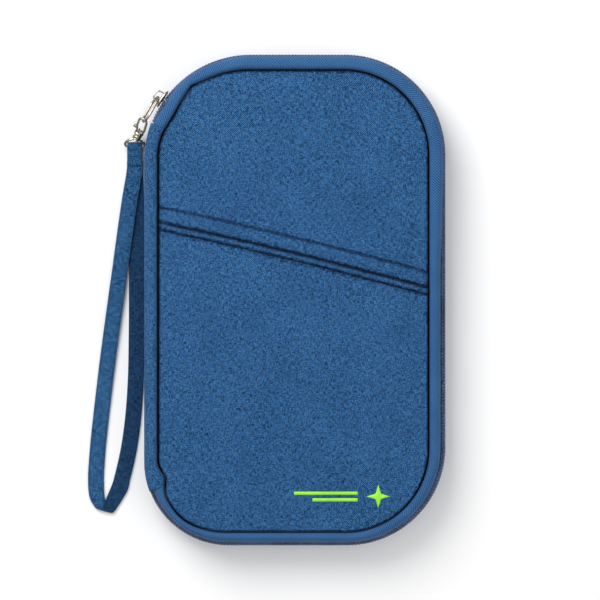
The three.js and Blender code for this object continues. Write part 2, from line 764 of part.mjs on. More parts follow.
// The end of the strap, folded round the bar and sewn to itself.
function strapFold() {
  const inner = LOOP_WIRE + GAP;
  const outer = inner + STRAP_THICKNESS;
  const shape = new THREE.Shape();
  shape.absarc(0, 0, outer, Math.PI / 2, Math.PI * 1.5, false);
  shape.lineTo(FOLD.tail, -outer);
  shape.lineTo(FOLD.tail, outer - FOLD.step);
  shape.lineTo(inner + FOLD.stepRun, outer - FOLD.step);
  shape.lineTo(0, outer);
  const hole = new THREE.Path();
  hole.absarc(0, 0, inner, 0, 2 * Math.PI, true);
  shape.holes.push(hole);
  const width = STRAP_WIDTH - FOLD.margin;
  const settings = { depth: width, bevelEnabled: false, curveSegments: 6 };
  return new THREE.ExtrudeGeometry(shape, settings).translate(0, 0, -width / 2);
}

const strapHeading = new THREE.Vector3(0, -1, 0);
const strapSide = new THREE.Vector3().crossVectors(strapHeading, up);
const fold = addPart("strap_fold", strapFold(), cloth(COLOURS.fabric));
const foldPlace = new THREE.Matrix4().makeBasis(strapHeading, up, strapSide).setPosition(barCentre);
fold.applyMatrix4(foldPlace);

const strapCurve = new THREE.CatmullRomCurve3(
  STRAP_ROUTE.map((point) => new THREE.Vector3(...point)),
  false,
  "centripetal",
);
const strapSection = new THREE.Shape([
  new THREE.Vector2(-STRAP_THICKNESS / 2, -STRAP_WIDTH / 2),
  new THREE.Vector2(STRAP_THICKNESS / 2, -STRAP_WIDTH / 2),
  new THREE.Vector2(STRAP_THICKNESS / 2, STRAP_WIDTH / 2),
  new THREE.Vector2(-STRAP_THICKNESS / 2, STRAP_WIDTH / 2),
]);
addPart(
  "strap_loop",
  new THREE.ExtrudeGeometry(strapSection, { steps: STRAP_STEPS, extrudePath: strapCurve }),
  cloth(COLOURS.fabric),
);

export default group;
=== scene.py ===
# Zip-around passport holder with a wrist strap: the visual model on its CAD frame. Metres, +Z up.
import math

import bmesh
import bpy
import numpy as np
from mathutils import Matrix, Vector, noise
from mathutils.bvhtree import BVHTree
from mathutils.geometry import delaunay_2d_cdt


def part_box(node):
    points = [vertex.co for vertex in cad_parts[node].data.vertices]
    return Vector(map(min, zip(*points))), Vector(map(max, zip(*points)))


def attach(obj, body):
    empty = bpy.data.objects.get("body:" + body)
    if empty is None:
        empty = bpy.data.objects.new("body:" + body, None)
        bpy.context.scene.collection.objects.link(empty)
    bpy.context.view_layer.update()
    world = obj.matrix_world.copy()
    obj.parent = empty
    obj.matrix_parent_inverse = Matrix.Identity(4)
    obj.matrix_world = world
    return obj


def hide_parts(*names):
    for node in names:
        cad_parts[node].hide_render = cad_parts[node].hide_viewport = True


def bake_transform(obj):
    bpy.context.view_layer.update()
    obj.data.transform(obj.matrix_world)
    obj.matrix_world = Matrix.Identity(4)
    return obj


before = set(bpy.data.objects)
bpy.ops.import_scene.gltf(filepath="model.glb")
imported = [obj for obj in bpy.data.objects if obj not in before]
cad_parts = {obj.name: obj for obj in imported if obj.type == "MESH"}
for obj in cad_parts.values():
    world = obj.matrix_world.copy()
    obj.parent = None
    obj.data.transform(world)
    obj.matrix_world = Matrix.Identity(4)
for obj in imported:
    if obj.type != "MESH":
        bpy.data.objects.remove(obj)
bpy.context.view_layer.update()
MM = 0.001


def low(node):
    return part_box(node)[0]


def high(node):
    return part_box(node)[1]


# ---- driving dimensions ----

RIGHT = high("front_zip_coil").x  # half the width, spine to opening edge
TOP = high("front_zip_coil").y  # half the length
THICK = high("front_pocket_panel").z
MID_Z = THICK / 2
CORNER_RADII = (49 * MM, 52 * MM, 41 * MM, 48 * MM)  # top right, top left, bottom left, bottom right
LINING_INSET = RIGHT - high("back_lining").x
BOARD_INSET = LINING_INSET + 2.5 * MM

SEAM_INSET = 7.5 * MM  # the covers' seam, in from the outline
SEAM_GAP = 0.45 * MM
PANEL_LOW = high("front_board").z + 0.3 * MM  # the underside of the padded front
CROWN_START = 22.9 * MM  # the front's height before its filling swells
CROWN_CAP = 2.0 * MM  # how far it may swell

YARN = 0.5  # mm between threads of the outer cloth
TWILL = 1.1  # mm between its faint diagonal lines
TOOTH_PITCH = 1.6 * MM
TOOTH_WIRE = 0.36 * MM
BAND_ANGLE = 20  # degrees past the spine, where the zip starts
SLIDER_END = 147  # degrees on the top left corner, where the closed teeth end

STRAP_WIDTH = 7.8 * MM
STRAP_THICKNESS = 1.0 * MM
# The wrist strap's middle line in mm, from its bar down the inner leg, round and back up the outer leg.
STRAP_ROUTE = [
    (-79.0, 68.6, 0.75), (-79.0, 64.0, 0.75), (-78.7, 56.0, 0.7), (-78.4, 45.0, 0.65),
    (-78.2, 30.0, 0.65), (-78.1, 10.0, 0.65), (-78.2, -15.0, 0.65), (-78.7, -40.0, 0.65),
    (-80.2, -60.0, 0.65), (-82.6, -76.0, 0.65), (-86.0, -90.0, 0.65), (-88.6, -97.3, 0.65),
    (-93.2, -101.0, 0.65), (-97.3, -97.6, 0.65), (-98.3, -90.0, 0.65), (-97.4, -73.5, 0.65),
    (-95.9, -58.8, 0.75), (-94.2, -44.1, 1.0), (-92.4, -29.4, 1.35), (-89.8, -10.0, 1.8),
    (-87.0, 10.0, 2.15), (-84.0, 32.0, 2.3), (-81.4, 50.0, 2.35), (-79.1, 64.0, 2.35),
    (-79.0, 68.6, 2.35),
]


# ---- materials ----


def rgb(code):
    """A hex colour as linear light."""
    values = [int(code[i : i + 2], 16) / 255 for i in (1, 3, 5)]
    return tuple(v / 12.92 if v < 0.04045 else ((v + 0.055) / 1.055) ** 2.4 for v in values) + (1.0,)


class Finish:
    """A material whose nodes are added by short calls."""

    def __init__(self, name, sockets):
        self.material = bpy.data.materials.new(name)
        self.material.use_nodes = True
        self.tree = self.material.node_tree
        self.tree.nodes.clear()
        self.shader = self.add("ShaderNodeBsdfPrincipled", sockets)
        self.add("ShaderNodeOutputMaterial", {"Surface": self.shader.outputs[0]})

    def add(self, kind, inputs=None, **settings):
        node = self.tree.nodes.new(kind)
        for key, value in settings.items():
            setattr(node, key, value)
        for key, value in (inputs or {}).items():
            self.feed(node.inputs[key], value)
        return node

    def feed(self, socket, value):
        if isinstance(value, bpy.types.NodeSocket):
            self.tree.links.new(value, socket)
        else:
            socket.default_value = value

    def math(self, operation, a, b=0.0, c=0.0):
        return self.add("ShaderNodeMath", {0: a, 1: b, 2: c}, operation=operation).outputs[0]

    def weighted(self, *terms):
        """0.5 plus each (value, weight), the value taken as centred on 0.5."""
        total = 0.5
        for value, weight in terms:
            total = self.math("MULTIPLY_ADD", self.math("SUBTRACT", value, 0.5), weight, total)
        return total

    def scaled(self, vector, x, y, z=1.0):
        return self.add("ShaderNodeVectorMath", {0: vector, 1: (x, y, z)}, operation="MULTIPLY").outputs[0]

    def noise(self, vector, scale, detail=2.0):
        inputs = {"Vector": vector, "Scale": scale, "Detail": detail}
        return self.add("ShaderNodeTexNoise", inputs).outputs[0]

    def ramp(self, factor, positions, colours):
        node = self.add("ShaderNodeValToRGB", {"Fac": factor})
        elements = node.color_ramp.elements
        while len(elements) < len(positions):
            elements.new(0.5)
        for element, position, colour in zip(elements, positions, colours):
            element.position = position
            element.color = rgb(colour)
        return node.outputs[0]

    def split(self, vector):
        return self.add("ShaderNodeSeparateXYZ", {0: vector}).outputs

    def waves(self, value, pitch):
        return self.math("SINE", self.math("MULTIPLY", value, 2 * math.pi / pitch))

    def ridges(self, value, pitch):
        return self.math("ABSOLUTE", self.waves(value, 2 * pitch))

    def cloth(self):
        """Millimetres along and across the cloth."""
        return self.add("ShaderNodeAttribute", attribute_name="cloth").outputs["Vector"]

    def place(self):
        return self.add("ShaderNodeTexCoord").outputs["Object"]

    def bump(self, height, distance, strength=1.0):
        inputs = {"Height": height, "Distance": distance, "Strength": strength}
        self.feed(self.shader.inputs["Normal"], self.add("ShaderNodeBump", inputs).outputs[0])

    def colour(self, value):
        self.feed(self.shader.inputs["Base Color"], value)

    def roughness(self, value):
        self.feed(self.shader.inputs["Roughness"], value)


MATT = {"Specular IOR Level": 0.12}


def heather(name, *tones):
    """Melange canvas: slubbed threads of three blues, both ways, in a plain weave."""
    f = Finish(name, {"Roughness": 0.86, "Sheen Weight": 0.03, "Sheen Roughness": 0.45, **MATT})
    cloth = f.cloth()
    threads = f.scaled(cloth, 1 / YARN, 1 / YARN)
    cells = f.add("ShaderNodeVectorMath", {0: threads}, operation="FLOOR").outputs[0]
    speck = f.add("ShaderNodeTexWhiteNoise", {"Vector": cells}).outputs["Value"]
    x, y, _ = f.split(threads)  # a plain weave of round threads, its height from 0 to 1
    over = f.math("FLOORED_MODULO", f.math("ADD", f.math("FLOOR", x), f.math("FLOOR", y)), 2.0)
    under = f.math("MULTIPLY", f.ridges(y, 1), f.math("SUBTRACT", 1.0, over))
    weave = f.math("MULTIPLY_ADD", f.ridges(x, 1), over, under)
    warp, weft = f.noise(f.scaled(cloth, 2.5, 0.5), 1.0), f.noise(f.scaled(cloth, 0.5, 2.5), 1.0)
    mottle, worn = f.noise(cloth, 1.3), f.noise(cloth, 0.035, 4.0)
    along, across, crease_shade = f.split(cloth)
    slant = f.waves(f.math("ADD", along, across), TWILL)
    counter = f.waves(f.math("SUBTRACT", along, across), TWILL)
    twill = f.math("MULTIPLY_ADD", f.math("MULTIPLY_ADD", counter, 0.6, slant), 0.3, 0.5)
    fine = [(warp, 1.4), (weft, 1.4), (speck, 0.4), (weave, 0.15)]
    tone = f.weighted(*fine, (mottle, 0.35), (worn, 0.25), (twill, 0.65))
    # Painted shade: the cloth attribute's third number darkens the colour in creases, seams and along edges.
    tone = f.math("SUBTRACT", tone, f.math("MULTIPLY", crease_shade, 0.75))
    f.colour(f.ramp(tone, (0.0, 0.2, 0.5, 0.8), tones))
    f.roughness(f.math("MULTIPLY_ADD", speck, 0.14, 0.78))
    f.bump(f.math("MULTIPLY_ADD", mottle, 0.8, weave), 0.00018, 0.8)
    return f.material


def herringbone(name, dark, light, pitch=1.35, turn=3.4):
    """Zip tape: fine diagonal ribs that turn back on themselves in rows."""
    f = Finish(name, {"Roughness": 0.8, "Sheen Weight": 0.04, "Sheen Roughness": 0.4, **MATT})
    cloth = f.cloth()
    along, across, _ = f.split(cloth)
    slant = f.math("ADD", along, f.math("PINGPONG", across, turn))
    rib = f.math("MULTIPLY_ADD", f.waves(slant, pitch), 0.5, 0.5)
    fuzz, broad = f.noise(cloth, 1.3), f.noise(cloth, 0.06, 3.0)
    f.colour(f.ramp(f.weighted((rib, 0.75), (fuzz, 0.6), (broad, 0.4)), (0.1, 0.9), (dark, light)))
    f.bump(f.math("MULTIPLY_ADD", fuzz, 0.4, rib), 0.00016, 0.9)
    return f.material


def ribbed(name, dark, light, pitch, depth=0.00012, rough=0.7):
    """Grosgrain, elastic or lining: ribs across the cloth's length."""
    f = Finish(name, {"Roughness": rough, "Sheen Weight": 0.1, "Sheen Roughness": 0.4})
    cloth = f.cloth()
    along, across, _ = f.split(cloth)
    rib, thread = f.ridges(along, pitch), f.ridges(across, 0.3)
    fuzz, broad = f.noise(cloth, 0.8), f.noise(cloth, 0.05, 3.0)
    tone = f.weighted((rib, 0.4), (thread, 0.15), (fuzz, 0.6), (broad, 0.7))
    f.colour(f.ramp(tone, (0.1, 0.9), (dark, light)))
    f.bump(f.math("MULTIPLY_ADD", thread, 0.3, rib), depth)
    return f.material


def moulded(name, dark, light, rough, coat=0.0, metal=0.0, grain=900.0, depth=0.00002, rim=None):
    """Cast metal, nylon, ink, thread or board, by its sockets."""
    f = Finish(name, {"Roughness": rough, "Coat Weight": coat, "Metallic": metal})
    fine, broad = f.noise(f.place(), grain, 3.0), f.noise(f.place(), grain / 12, 3.0)
    face = f.ramp(f.weighted((fine, 0.8), (broad, 1.0)), (0.15, 0.85), (dark, light))
    # Painted reflection: the rim colour is mixed in where the surface turns away from view, a dark
    # reflection painted at grazing angles.
    if rim is not None:
        graze = f.add("ShaderNodeLayerWeight", {"Blend": 0.72}).outputs["Facing"]
        face = f.add("ShaderNodeMix", {0: graze, 6: face, 7: rgb(rim)}, data_type="RGBA").outputs[2]
    f.colour(face)
    f.roughness(f.math("MULTIPLY_ADD", f.math("MULTIPLY", fine, broad), rough * 0.8, rough * 0.8))
    f.bump(fine, depth, 0.6)
    return f.material


CLOTH = heather("heather_canvas", "#061326", "#143358", "#23507f", "#4379ad")
STRAP_CLOTH = heather("heather_strap", "#061326", "#12355b", "#25537e", "#4277a6")
# A darker copy of the strap's cloth: painted shade for the strap's inner leg.
STRAP_SHADED_COPY = heather("heather_strap_shaded", "#050f1e", "#0d223c", "#173a5c", "#285078")
TAPE = herringbone("zip_tape_weave", "#184170", "#43709f")
# The coil's light tone, scattered by noise, is partly its own colour and partly painted glints.
COIL = moulded("nylon_coil", "#0b1734", "#4f6da3", 0.28, coat=0.6)
LINING = ribbed("lining_taffeta", "#142a47", "#2a4a72", 0.42, 0.00005, 0.55)
BINDING = ribbed("binding_grosgrain", "#10223c", "#243f63", 0.8)
ELASTIC = ribbed("elastic_ribs", "#0d1626", "#263851", 1.3)
THREAD = moulded("sewing_thread", "#0b264e", "#17437a", 0.8, grain=2500.0)
LINING_THREAD = moulded("lining_thread", "#3c6292", "#5d84b4", 0.6, grain=2500.0)
BOARD = moulded("fibre_board", "#776d5c", "#9c917f", 0.85, grain=500.0, depth=0.0001)
# The nickel's dark brown rim colour is a painted dark reflection at grazing angles.
NICKEL = moulded("nickel_plate", "#b9ab92", "#eee3d0", 0.2, metal=1.0, grain=1500.0, rim="#2c2114")
STEEL = moulded("spring_leaf", "#8d8a86", "#b8b5b0", 0.35, metal=1.0, grain=1500.0)
INK = moulded("printed_ink", "#7fd81c", "#a6f53a", 0.5, coat=0.15, grain=1200.0, depth=0.00004)


# ---- mesh helpers ----


def added(name, data):
    obj = bpy.data.objects.new(name, data)
    bpy.context.scene.collection.objects.link(obj)
    return obj


def build(name, verts, faces, material, cloth=None):
    mesh = bpy.data.meshes.new(name)
    mesh.from_pydata(np.asarray(verts).tolist(), [], faces)
    if cloth is not None:
        attribute = mesh.attributes.new("cloth", "FLOAT_VECTOR", "POINT")
        attribute.data.foreach_set("vector", np.asarray(cloth, np.float32).ravel())
    mesh.materials.append(material)
    edit = bmesh.new()
    edit.from_mesh(mesh)
    bmesh.ops.recalc_face_normals(edit, faces=edit.faces)
    edit.to_mesh(mesh)
    edit.free()
    mesh.polygons.foreach_set("use_smooth", [True] * len(mesh.polygons))
    return added(name, mesh)


def place(obj, body, slot, *nodes):
    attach(obj, body)
    if nodes:
        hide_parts(*nodes)
    return obj


def grid_faces(rows, columns, closed_rows=False):
    """Faces round a closed section carried along rows, with end caps unless the rows close too."""
    faces = []
    for i in range(rows if closed_rows else rows - 1):
        for j in range(columns):
            a, b, k = i * columns, (i + 1) % rows * columns, (j + 1) % columns
            faces.append((a + j, a + k, b + k, b + j))
    if not closed_rows:
        faces.append(tuple(range(columns))[::-1])
        faces.append(tuple((rows - 1) * columns + j for j in range(columns)))
    return faces


def vertices(node):
    return np.array([v.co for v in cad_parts[node].data.vertices])


def rectangle(node):
    """The corners of a CAD node's box, seen from above."""
    a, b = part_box(node)
    return np.array([(a.x, a.y), (b.x, a.y), (b.x, b.y), (a.x, b.y)])


def unit(vectors):
    return vectors / np.linalg.norm(vectors, axis=-1, keepdims=True)


def bell(value, middle, width):
    return np.exp(-(((value - middle) / width) ** 2))


def run_length(points):
    steps = np.linalg.norm(np.diff(points, axis=0), axis=1)
    return np.concatenate([[0.0], np.cumsum(steps)])


def sampled(points, run, at):
    """A line's points at other distances along it."""
    return np.column_stack([np.interp(at, run, column) for column in points.T])


def circle(count, first, second):
    """A circle's points, as sums of two directions."""
    angle = (np.arange(count) / count * 2 * math.pi)[:, None]
    return np.cos(angle) * first + np.sin(angle) * second


def rounded_section(width, height, power=0.65):
    """A closed oval with flattened sides."""
    around = circle(16, np.array([1, 0]), np.array([0, 1]))
    return np.sign(around) * np.abs(around) ** power * (width / 2, height / 2)


def carried(centres, section, across, up):
    """A section of (across, up) set at each centre."""
    return centres[:, None] + section[:, :1] * across[:, None] + section[:, 1:] * up[:, None]


def loft(name, points, material, closed_rows=False):
    """A closed section, points[row, column], carried along its rows."""
    rows, columns, _ = points.shape
    cloth = np.zeros(points.shape)
    cloth[..., 0] = run_length(points[:, 0])[:, None] / MM
    cloth[..., 1] = run_length(points[rows // 2])[None, :] / MM
    faces = grid_faces(rows, columns, closed_rows)
    return build(name, points.reshape(-1, 3), faces, material, cloth.reshape(-1, 3))


def tube(path, radius, sides=6):
    """Points and faces of a round rod along a short path."""
    path = np.asarray(path, float)
    heading = unit(np.gradient(path, axis=0))
    side = unit(np.cross(heading, np.eye(3)[np.argmin(np.ptp(path, axis=0))]))
    around = circle(sides, side[:, None], np.cross(side, heading)[:, None])
    rings = path[:, None] + np.reshape(radius, (-1, 1, 1)) * around
    return rings.reshape(-1, 3), grid_faces(len(path), sides)


def scatter(name, template, origins, axes, material):
    """Copies of one small shape, its x, y and z turned to the axes at each origin, as one mesh."""
    points, faces = template
    axes = [np.broadcast_to(axis, origins.shape)[:, None] for axis in axes]
    placed = origins[:, None] + sum(points[None, :, k, None] * axes[k] for k in range(3))
    count = len(points)
    copies = [tuple(i * count + v for v in face) for i in range(len(origins)) for face in faces]
    return build(name, placed.reshape(-1, 3), copies, material)


STITCH_SHAPE = np.array([0.0, 0.16, 0.5, 0.84, 1.0])
STITCH_TAPER = np.array([0.55, 0.9, 1.0, 0.9, 0.55])


def stitches(name, path, material, facing=1, pitch=2.6 * MM, length=2.0 * MM, radius=0.2 * MM):
    """A row of stitches lying along a path, on cloth that faces up (1) or down (-1)."""
    run = run_length(path)
    at = np.arange(pitch / 2, run[-1] - length, pitch)
    start = sampled(path, run, at)
    heading = unit(sampled(path, run, at + length) - start)
    side = unit(np.cross((0, 0, facing), heading))
    bow = 4 * STITCH_SHAPE * (1 - STITCH_SHAPE) * radius * 0.9 - radius * 0.6
    line = np.column_stack([STITCH_SHAPE * length, 0 * bow, bow])
    shape = tube(line, radius * STITCH_TAPER)
    return scatter(name, shape, start, (heading, side, np.cross(heading, side)), material)


def wander(points, size, seed):
    """Smooth noise, about -0.5 to 0.5, over points in the plane."""
    xy = np.asarray(points)[:, :2] / size
    return np.array([noise.noise(Vector((x, y, seed))) for x, y in xy])


def curve(points, count):
    """A centripetal Catmull-Rom curve through the points, at even steps."""
    p = np.asarray(points, float)
    p = np.vstack([2 * p[0] - p[1], p, 2 * p[-1] - p[-2]])
    knots = np.concatenate([[0.0], np.cumsum(np.linalg.norm(np.diff(p, axis=0), axis=1) ** 0.5)])

    def blend(a, b, start, end, t):
        return ((end - t) * a + (t - start) * b) / (end - start)

    out = []
    for i in range(1, len(p) - 2):
        t0, t1, t2, t3 = knots[i - 1 : i + 3]
        for t in np.linspace(t1, t2, 24, endpoint=False):
            a1 = blend(p[i - 1], p[i], t0, t1, t)
            a2 = blend(p[i], p[i + 1], t1, t2, t)
            a3 = blend(p[i + 1], p[i + 2], t2, t3, t)
            out.append(blend(blend(a1, a2, t0, t2, t), blend(a2, a3, t1, t3, t), t1, t2, t))
    out = np.array(out + [p[-2]])
    run = run_length(out)
    return sampled(out, run, np.linspace(0, run[-1], count))


# ---- camera and light ----

PICTURE_WIDTH = 0.2939  # what the view takes in at the holder's middle height
CAMERA_HEIGHT = 1.5
SENSOR = 36.0

camera_data = bpy.data.cameras.new("camera")
camera_data.sensor_width = SENSOR
camera_data.lens = SENSOR * (CAMERA_HEIGHT - MID_Z) / PICTURE_WIDTH
camera = added("camera", camera_data)
camera.location = (2.45 * MM, 0, CAMERA_HEIGHT)
bpy.context.scene.camera = camera


def softbox(name, position, size, power):
    data = bpy.data.lights.new(name, "AREA")
    data.shape = "DISK"
    data.size = size
    data.energy = power
    lamp = added(name, data)
    lamp.location = position
    lamp.rotation_mode = "QUATERNION"
    lamp.rotation_quaternion = (-Vector(position)).to_track_quat("-Z", "Y")


def studio_dome():
    """A soft white room, darker towards the horizon, so that metal has something to show."""
    world = bpy.data.worlds.new("studio")
    world.use_nodes = True
    tree = world.node_tree
    background = tree.nodes["Background"]
    background.inputs["Strength"].default_value = 0.72
    split = tree.nodes.new("ShaderNodeSeparateXYZ")
    tree.links.new(tree.nodes.new("ShaderNodeTexCoord").outputs["Generated"], split.inputs[0])
    ramp = tree.nodes.new("ShaderNodeValToRGB")
    ramp.color_ramp.elements[0].color = (0.1, 0.1, 0.11, 1)
    ramp.color_ramp.elements[1].color = (1.0, 1.0, 1.0, 1)
    ramp.color_ramp.elements[1].position = 0.6
    tree.links.new(split.outputs["Z"], ramp.inputs["Fac"])
    tree.links.new(ramp.outputs[0], background.inputs["Color"])
    bpy.context.scene.world = world


studio_dome()
softbox("key", (-0.45, 0.6, 0.75), 0.75, 8.5)
softbox("fill", (0.8, -0.3, 0.9), 0.9, 2.5)
bpy.context.scene.view_settings.view_transform = "Standard"

# ---- wrist strap ----

strap_path = curve(np.array(STRAP_ROUTE) * MM, 361)
strap_run = run_length(strap_path)
FOLD_ROW = int(np.argmin(strap_path[:, 1]))
# The pressed fold at the strap's far end, in mm: its outer and inner edge, from the inner leg to the outer.
FOLD_EDGES = np.array(
    [
        [(-80.4, -87.4), (-88.3, -87.4)], [(-82.7, -94.2), (-91.3, -93.4)],
        [(-86.5, -100.5), (-92.9, -97.2)], [(-89.8, -105.4), (-93.4, -98.7)],
        [(-94.0, -104.3), (-93.7, -98.5)], [(-98.4, -103.0), (-94.0, -97.4)],
        [(-101.3, -98.4), (-94.3, -94.8)], [(-102.2, -92.5), (-94.4, -91.5)],
    ]
) * MM
FOLD_EASE = 4 * MM  # how far each leg takes to meet the fold
FOLD_HUMP = 0.7 * MM  # how high the pressed fold stands


def strap_frames():
    """The strap's middle line, half-width vectors and upward directions: flat, with a pressed fold."""
    heading = np.gradient(strap_path, axis=0)
    side = unit(np.column_stack([-heading[:, 1], heading[:, 0]])) * STRAP_WIDTH / 2
    edges = strap_path[:, None, :2] + np.stack([side, -side], axis=1)
    near, far = strap_path[:FOLD_ROW, 1], strap_path[FOLD_ROW:, 1]
    first = strap_run[np.argmin(np.abs(near - FOLD_EDGES[0, 0, 1]))]
    last = strap_run[FOLD_ROW + np.argmin(np.abs(far - FOLD_EDGES[-1, 0, 1]))]
    stations = np.linspace(first, last, len(FOLD_EDGES))
    folded = np.stack([sampled(FOLD_EDGES[:, k], stations, strap_run) for k in range(2)], axis=1)
    ease = np.clip((strap_run - first) / FOLD_EASE, 0, 1) * np.clip((last - strap_run) / FOLD_EASE, 0, 1)
    edges = edges + (folded - edges) * (ease * ease * (3 - 2 * ease))[:, None, None]
    edges[1:-1] = (edges[:-2] + 2 * edges[1:-1] + edges[2:]) / 4
    hump = FOLD_HUMP * bell(strap_run, strap_run[FOLD_ROW], 5 * MM)
    ripple = np.abs(0.3 * MM * wander(np.column_stack([strap_run, 0 * strap_run]), 17 * MM, 3.1))
    middle = np.column_stack([edges.mean(axis=1), strap_path[:, 2] + hump + ripple])
    half = np.column_stack([(edges[:, 0] - edges[:, 1]) / 2, 0.35 * hump])
    return middle, half, unit(np.cross(heading, half))


# Half of the webbing's upper face: place across (1 is the edge) and height, with a dip where it is sewn.
WEBBING_EDGE = np.array([(1, 0.25), (0.97, 0.8), (0.86, 1), (0.78, 0.72), (0.7, 0.98), (0.4, 1.06)])
WEBBING_FACE = np.vstack([WEBBING_EDGE, [(0, 1.08)], WEBBING_EDGE[::-1] * (-1, 1)])
WEBBING = np.vstack([WEBBING_FACE, WEBBING_FACE[::-1] * (1, -1)])


def webbing(name, middle, half, up, thickness, material):
    """Folded webbing: flat faces, soft edges and a shallow line where each edge is sewn."""
    return loft(name, carried(middle, WEBBING * (1, thickness / 2), half, up), material)


strap_line, strap_half, strap_up = strap_frames()
strap = webbing("wrist_strap", strap_line, strap_half, strap_up, STRAP_THICKNESS, STRAP_CLOTH)
strap.data.materials.append(STRAP_SHADED_COPY)
for polygon in strap.data.polygons:  # the inner leg's upper face and the outer leg's lower face take the darker copy of the strap cloth: painted shade on the inner leg
    row, column = divmod(polygon.index, len(WEBBING))
    polygon.material_index = int((column < len(WEBBING_FACE) - 1) == (row < FOLD_ROW))

# The strap's end, turned round the bar of the swivel's eye and sewn to itself.
fold_low, fold_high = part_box("strap_fold")
fold_middle, fold_radius = (fold_low + fold_high) / 2, (fold_high.z - fold_low.z) / 2
bar = np.array([fold_middle.x, fold_high.y - fold_radius, fold_middle.z])
wrap = fold_radius - STRAP_THICKNESS / 2  # from the bar's middle to the webbing's
turn = [(wrap * math.sin(a), -wrap * math.cos(a)) for a in np.linspace(0, math.pi, 9)]
loop_line = [(-10 * MM, -wrap), (-4 * MM, -wrap), *turn]
loop_line += [(-3.5 * MM, wrap * 0.82), (-7 * MM, wrap * 0.5), (-9.5 * MM, wrap * 0.42)]
loop_path = curve([bar + (0, y, z) for y, z in loop_line], 90)
loop_half = np.tile([STRAP_WIDTH / 2 - 0.25 * MM, 0, 0], (len(loop_path), 1))
loop_up = np.cross(unit(np.gradient(loop_path, axis=0)), (1.0, 0, 0))
fold_piece = webbing("strap_turned_end", loop_path, loop_half, loop_up, STRAP_THICKNESS * 0.85, STRAP_CLOTH)
place(fold_piece, "strap", "heather_fabric", "strap_fold")
place(strap, "strap", "heather_fabric", "strap_loop")

for side_name, shift in (("inner", 0.78), ("outer", -0.78)):
    line = strap_line + strap_half * shift + strap_up * STRAP_THICKNESS * 0.38
    row = stitches(f"strap_stitch_{side_name}", line, THREAD, length=1.9 * MM, radius=0.17 * MM)
    place(row, "strap", "heather_fabric")
for i, y in enumerate((-8.2 * MM, -5.0 * MM)):
    level = np.interp(bar[1] + y, loop_path[::-1, 1], loop_path[::-1, 2]) + 0.5 * MM
    line = np.array([(bar[0] + x, bar[1] + y, level) for x in np.linspace(-3, 3, 9) * MM])
    row = stitches(f"strap_end_stitch_{i + 1}", line, THREAD, pitch=1.5 * MM, length=1.3 * MM)
    place(row, "strap", "heather_fabric")

# ---- outline and seam ----


def corner(sx, sy, radius, start):
    return (sx * (RIGHT - radius), sy * (TOP - radius), radius, start, start + 90)


CORNERS = [
    corner(1, 1, CORNER_RADII[0], 0),
    corner(-1, 1, CORNER_RADII[1], 90),
    corner(-1, -1, CORNER_RADII[2], 180),
    corner(1, -1, CORNER_RADII[3], 270),
]


class Track:
    """The holder's outline, or a stretch of it, counter-clockwise at even steps."""

    def __init__(self, arcs, step, closed=False):
        points, angles = [], []
        for x, y, radius, start, end in arcs:
            for angle in np.radians(np.linspace(start, end, 61)):
                points.append((x + radius * math.cos(angle), y + radius * math.sin(angle)))
                angles.append(angle)
        if closed:
            points.append(points[0])
            angles.append(angles[0] + 2 * math.pi)
        points = np.array(points)
        run = run_length(points)
        self.at = np.linspace(0, run[-1], int(run[-1] / step) + 1)
        if closed:
            self.at = self.at[:-1]
        self.xy = sampled(points, run, self.at)
        self.angle = np.interp(self.at, run, angles)
        self.out = np.column_stack([np.cos(self.angle), np.sin(self.angle)])

    def inset(self, distance):
        return self.xy - self.out * np.reshape(distance, (-1, 1))

    def sweep(self, section):
        """section[row or 0, column] of (inward, height), carried along the track."""
        section = np.broadcast_to(section, (len(self.at), *section.shape[-2:]))
        xy = self.xy[:, None] - self.out[:, None] * section[..., :1]
        return np.concatenate([xy, section[..., 1:]], axis=2)


def seam_inset(angle):
    """How far in the covers' seam lies, by the outline's heading; it kinks on the top left corner."""
    degrees = np.degrees(angle) % 360
    sway = 0.9 * np.cos(angle) + 0.5 * np.sin(angle)
    kink = -1.7 * np.exp(-np.abs(degrees - 128.5) / 6)
    slack = 1.6 * bell(degrees, 150, 12) + 2.9 * bell(degrees, 194, 9)
    tight = -0.9 * bell(degrees, 232, 16)
    return SEAM_INSET + (sway + kink + slack + tight) * MM


outline = Track(CORNERS, 1.1 * MM, closed=True)
top_right, top_left, bottom_left, bottom_right = CORNERS


def turned_on(arc, start, end, whole_turns=0):
    return (*arc[:3], start + 360 * whole_turns, end + 360 * whole_turns)


band_arcs = [
    turned_on(bottom_left, 180 + BAND_ANGLE, 270),
    bottom_right,
    turned_on(top_right, 0, 90, 1),
    turned_on(top_left, 90, 180 - BAND_ANGLE, 1),
]
band = Track(band_arcs, 1.0 * MM)
spine_arcs = [turned_on(top_left, 179.3 - BAND_ANGLE, 180), turned_on(bottom_left, 180, 180.7 + BAND_ANGLE)]
spine = Track(spine_arcs, 1.5 * MM)


def flipped(points):
    """The same shape on the other cover."""
    out = np.array(points, float)
    out[..., -1] = THICK - out[..., -1]
    return out


def on_cover(cover, points):
    return points if cover == "front" else flipped(points)


def thickened(outer, thickness):
    """A closed section from an open line of (inward, height), thickened towards the inside."""
    heading = unit(np.gradient(outer, axis=-2))
    inner = outer + thickness * np.stack([heading[..., 1], -heading[..., 0]], axis=-1)
    return np.concatenate([outer, inner[..., ::-1, :]], axis=-2)


# ---- zip: tapes, bindings and teeth ----

TAPE_THICKNESS = 0.7 * MM


def teeth_bared(track):
    """How far the gusset sits back from the teeth: more towards the bottom and the opening edge."""
    fall = np.clip((62 * MM - track.xy[:, 1]) / (45 * MM), 0, 1)
    opening = np.clip(track.out[:, 0], 0, 1)
    parted = bell(np.degrees(track.angle) % 360, SLIDER_END, 9)
    return 0.1 + fall * (0.75 + 0.65 * opening) + 1.2 * parted * (track.xy[:, 1] > 0)


